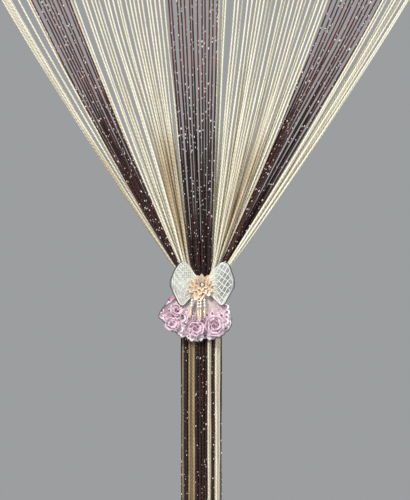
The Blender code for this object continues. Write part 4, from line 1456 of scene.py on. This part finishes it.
def curl(across, down, size, turn, sweep, steps):
    """Places round part of a circle that closes in, as millimetres across and down."""
    places = []
    for share in np.linspace(0.0, 1.0, steps + 1):
        angle = math.radians(turn + sweep * share)
        reach = size * (1 - CURL_CLOSES * share)
        places.append((across + math.sin(angle) * reach, down - math.cos(angle) * reach))
    return places


def from_tie(place):
    """A place as millimetres right of the tie's middle and below it."""
    return (place.x - TIE_X) / MM, (TIE_MID - place.z) / MM


def frill_curls():
    """The frill's raised curls, each a little turned from the one before it in its run."""
    for run in RUNS:
        for step, share in enumerate(np.linspace(0.0, 1.0, run.count)):
            heart = from_tie(frill_point(run.across + (run.across_to - run.across) * share,
                                         run.down + (run.down_to - run.down) * share))
            yield Curl(*heart, run.first + (run.last - run.first) * share,
                       run.turn + CURL_SWAY * math.sin(step * 2.3), run.thick)


def lace_strokes():
    """The lace's broad zones of other shades, then its repeat of small leaves with open hearts."""
    for zone in ZONES:
        shares = np.linspace(zone.start, zone.end, 4)
        yield Stroke(zone.colour, zone.wide, [from_tie(frill_point(zone.across, share)) for share in shares])
    for ring, reach in enumerate(LEAF_RINGS):
        count = round(math.radians(LEAF_TO - LEAF_FROM) * reach / LEAF_SPACING)
        for leaf in range(count):
            way = math.radians(LEAF_FROM + (LEAF_TO - LEAF_FROM) * (leaf + 0.25 + 0.5 * (ring % 2)) / count)
            heart = (math.sin(way) * reach, math.cos(way) * reach)
            turn = leaf * LEAF_TURN + ring * LEAF_RING_TURN
            size = LEAF_SIZE * (1 + LEAF_SWAY * math.sin(leaf * 2.1 + ring))
            yield Stroke("pale", LEAF_LINE, curl(*heart, size, turn, LEAF_SWEEP, 4))
            yield Stroke("shadow", LEAF_HEART,
                         curl(*heart, size * LEAF_HEART_SHARE, turn + LEAF_HEART_TURN, LEAF_SWEEP / 2, 2))


def gap_to(spots, line):
    """The distance of every spot to a line through points."""
    gaps = []
    for a, b in zip(line, line[1:]):
        share = np.clip((spots - a) @ (b - a) / ((b - a) @ (b - a)), 0.0, 1.0)
        gaps.append(np.linalg.norm(spots - a - share[:, None] * (b - a), axis=1))
    return np.min(gaps, axis=0)


def paint_strokes(bm):
    """Store on each point of a lace piece how deep it lies in the strokes of each colour."""
    layers = [bm.verts.layers.float.new(colour) for colour in STROKE_COLOURS]
    verts = list(bm.verts)
    spots = np.array([from_tie(vert.co) for vert in verts])
    depths = {colour: np.zeros(len(verts)) for colour in STROKE_COLOURS}
    for stroke in lace_strokes():
        depth = 1 - soft_rise(gap_to(spots, np.array(stroke.points)) / stroke.width, 0.2, 0.75)
        np.maximum(depths[stroke.colour], depth, out=depths[stroke.colour])
    for colour, layer in zip(STROKE_COLOURS, layers):
        for vert, value in zip(verts, depths[colour]):
            vert[layer] = value


def lace_ground(start, spot, looks):
    """The lace's mottled ground with its strokes over it, ragged at their edges."""
    leaf = spot.noise(190.0, 2.0)
    stir = spot.noise(620.0, 1.0) - 0.5
    shown = start.mix(leaf.soft(0.40, 0.62), looks.ground, looks.blush)
    shown = start.mix(spot.noise(330.0, 1.0).soft(0.60, 0.72) * 0.55, shown, looks.mauve)
    shown = start.mix(spot.noise(430.0, 1.0).soft(0.56, 0.66) * 0.6, shown, looks.smoke)
    for name in STROKE_COLOURS:
        share = (start.attribute(name) + stir * 0.55).soft(0.22, 0.62)
        shown = start.mix(share * 0.92, shown, getattr(looks, name))
    return shown


def rosette_point(row, along, depth):
    """A point of a rolled strip: a share along its spiral and a share from its back to its flared rim."""
    turn = along * row.turns * math.tau
    sway = turn * 1.37 + row.down
    odd = 0.72 + 0.28 * math.sin(math.floor(sway / math.pi) * 2.3 + row.radius)
    lobe = abs(math.sin(sway)) ** 0.6 * odd
    out = max(0.0, depth - 0.3) / 0.7
    heart = smooth(1 - along / ROSETTE_HEART)
    opened = min(1.0, 0.25 + along * 1.5) * (1 - 0.5 * smooth((along - 0.75) / 0.25))
    flare = (ROSETTE_LEAST_FLARE + ROSETTE_FLARE * lobe) * MM * opened - heart * 1.5 * MM
    ruffle = ROSETTE_RUFFLE * math.sin(turn * 7.1 + row.across) * out ** 2 * smooth(along * 3)
    radius = ROSETTE_CORE + (row.radius * MM - ROSETTE_WALL - ROSETTE_CORE) * along + ROSETTE_WALL / 2
    radius += flare * out ** 1.5 + ruffle
    stand = ROSETTE_DEPTH * (0.95 - 0.16 * along - 0.34 * (1 - lobe) * (1 - heart) * depth
                             + 0.05 * math.sin(turn * 0.9 + row.across))
    lip = ROSETTE_LIP * lobe * max(0.0, out - 0.7) / 0.3
    forward = row.back * MM + stand * (1 - (1 - depth) ** 1.6) - lip
    return Vector((TIE_X + row.across * MM + math.cos(turn) * radius, -forward,
                   TIE_MID - row.down * MM + math.sin(turn) * radius))


class CURTAIN_OT_rosettes(bpy.types.Operator):
    """Make the four rosettes of rolled lace with their petal-like rims"""

    bl_idname = "curtain.rosettes"
    bl_label = "Rosettes"

    columns_a_turn = 70
    rows = 24

    def execute(self, context):
        looks = context.scene.curtain_ornament
        lace = self.rolled_finish(looks)
        for row in ROSETTES:
            bm = start_mesh()
            lay_grid(bm, round(row.turns * self.columns_a_turn), self.rows,
                     lambda across, down: rosette_point(row, across, 1 - down))
            paint_strokes(bm)
            thicken(add_piece(row.name, bm, (lace,), row.node), 0.4 * MM)
        return {'FINISHED'}

    @staticmethod
    def rolled_finish(looks):
        """Lace that goes from rose at its root, painted shade deep in the spiral, to a paler lip, with a
        fine web in it.
        """
        made, shader, start = new_finish("rolled_lace", roughness=0.65, Sheen_Weight=0.2)
        sheet = start.node("ShaderNodeUVMap")
        rim, heart = sheet.part("Y"), sheet.part("X").soft(0.55, 0.10)
        spot = start.spot()
        web = spot.web(760.0)
        cloud = spot.noise(240.0, 2.0)
        shown = lace_ground(start, spot, looks)
        shown = start.mix(heart * 0.35, shown, looks.pale)
        # Painted shade: rose at the strip's root, deep in the spiral
        shown = start.mix((rim + (cloud - 0.5) * 0.5).soft(0.50, 0.20) * 0.10, shown, looks.rose)
        shown = start.mix(rim.soft(0.66, 0.92) * 0.6, shown, looks.pink)
        shown = start.mix(web * 0.06, shown, looks.blush)
        feed(shader, Base_Color=shown, Normal=start.bump(web, 0.20 * MM, 0.6))
        return made


class CURTAIN_OT_stage(bpy.types.Operator):
    """Set up the camera, the floor, the plain surroundings and the soft lights"""

    bl_idname = "curtain.stage"
    bl_label = "Stage"

    aim = Vector((-5.6 * MM, 0.0, -864 * MM))
    floor_below = 30 * MM
    floor_radius = 6.2
    # A row for each light: its name, which its strength setting shares, and the turns that aim it
    lights = (("key", 54, -24), ("fill", 68, 42), ("rim", 60, 165))
    light_size = math.radians(14)

    def execute(self, context):
        looks = context.scene.curtain_stage
        scene = context.scene
        scene.view_settings.view_transform = 'Standard'
        lens = bpy.data.cameras.new("camera")
        lens.lens = lens.sensor_width * looks.distance / looks.view_height
        camera = place_in_scene("camera", lens)
        camera.location = self.aim - Vector((0, looks.distance, 0))
        camera.rotation_euler = (math.radians(90), 0, 0)
        scene.camera = camera

        world = bpy.data.worlds.new("surroundings")
        world.use_nodes = True
        sky = world.node_tree.nodes["Background"]
        sky.inputs["Color"].default_value = looks.backdrop
        sky.inputs["Strength"].default_value = looks.ambient
        scene.world = world

        for name, tilt, turn in self.lights:
            lamp = bpy.data.lights.new(name, 'SUN')
            lamp.energy = getattr(looks, name)
            lamp.angle = self.light_size
            place_in_scene(name, lamp).rotation_euler = (math.radians(tilt), 0, math.radians(turn))
        self.add_floor(looks)
        return {'FINISHED'}

    def add_floor(self, looks):
        """A pale round floor that fades into the surroundings at its edge."""
        made, shader, start = new_finish("pale_floor", roughness=0.9)
        place = start.spot()
        away = start.node("ShaderNodeVectorMath", {"operation": 'LENGTH'}, {0: place}, output=1)
        shown = start.mix(place.noise(3.0) * 0.10, looks.floor, looks.backdrop)
        feed(shader, Base_Color=shown, Alpha=away.soft(self.floor_radius * 0.95, self.floor_radius * 0.45))
        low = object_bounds()[0].z
        bm = start_mesh()
        disc = bmesh.ops.create_circle(bm, cap_ends=True, segments=96, radius=self.floor_radius)["verts"]
        bmesh.ops.translate(bm, vec=(0, 0, low - self.floor_below), verts=disc)
        mesh = bpy.data.meshes.new("floor")
        bm.to_mesh(mesh)
        bm.free()
        mesh.materials.append(made)
        place_in_scene("floor", mesh)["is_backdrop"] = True


class CURTAIN_PT_panel(bpy.types.Panel):
    """Lists the curtain's settings and the steps that make it"""

    bl_idname = "CURTAIN_PT_panel"
    bl_label = "String Curtain"
    bl_space_type = 'VIEW_3D'
    bl_region_type = 'UI'
    bl_category = "Curtain"

    def draw(self, context):
        for step in STEPS:
            self.layout.operator(step.bl_idname)
        for name in SETTINGS:
            group = getattr(context.scene, name)
            box = self.layout.box()
            for prop in group.bl_rna.properties:
                if prop.identifier not in {"name", "rna_type"}:
                    box.prop(group, prop.identifier)


SETTINGS = {
    "curtain_strings": StringSettings,
    "curtain_heading": HeadingSettings,
    "curtain_ornament": OrnamentSettings,
    "curtain_stage": StageSettings,
}
STEPS = (
    CURTAIN_OT_stage,
    CURTAIN_OT_strings,
    CURTAIN_OT_heading,
    CURTAIN_OT_tie,
    CURTAIN_OT_rosettes,
    CURTAIN_OT_frill,
    CURTAIN_OT_bow,
    CURTAIN_OT_flower,
    CURTAIN_OT_drops,
)


def register():
    for kind in (*SETTINGS.values(), *STEPS, CURTAIN_PT_panel):
        bpy.utils.register_class(kind)
    for name, group in SETTINGS.items():
        setattr(bpy.types.Scene, name, PointerProperty(type=group))


def unregister():
    for name in SETTINGS:
        delattr(bpy.types.Scene, name)
    for kind in (CURTAIN_PT_panel, *reversed(STEPS), *SETTINGS.values()):
        bpy.utils.unregister_class(kind)


def main():
    """Make the whole curtain."""
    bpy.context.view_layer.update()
    register()
    for step in STEPS:
        group, name = step.bl_idname.split(".")
        getattr(getattr(bpy.ops, group), name)()


if __name__ == "__main__":
    main()
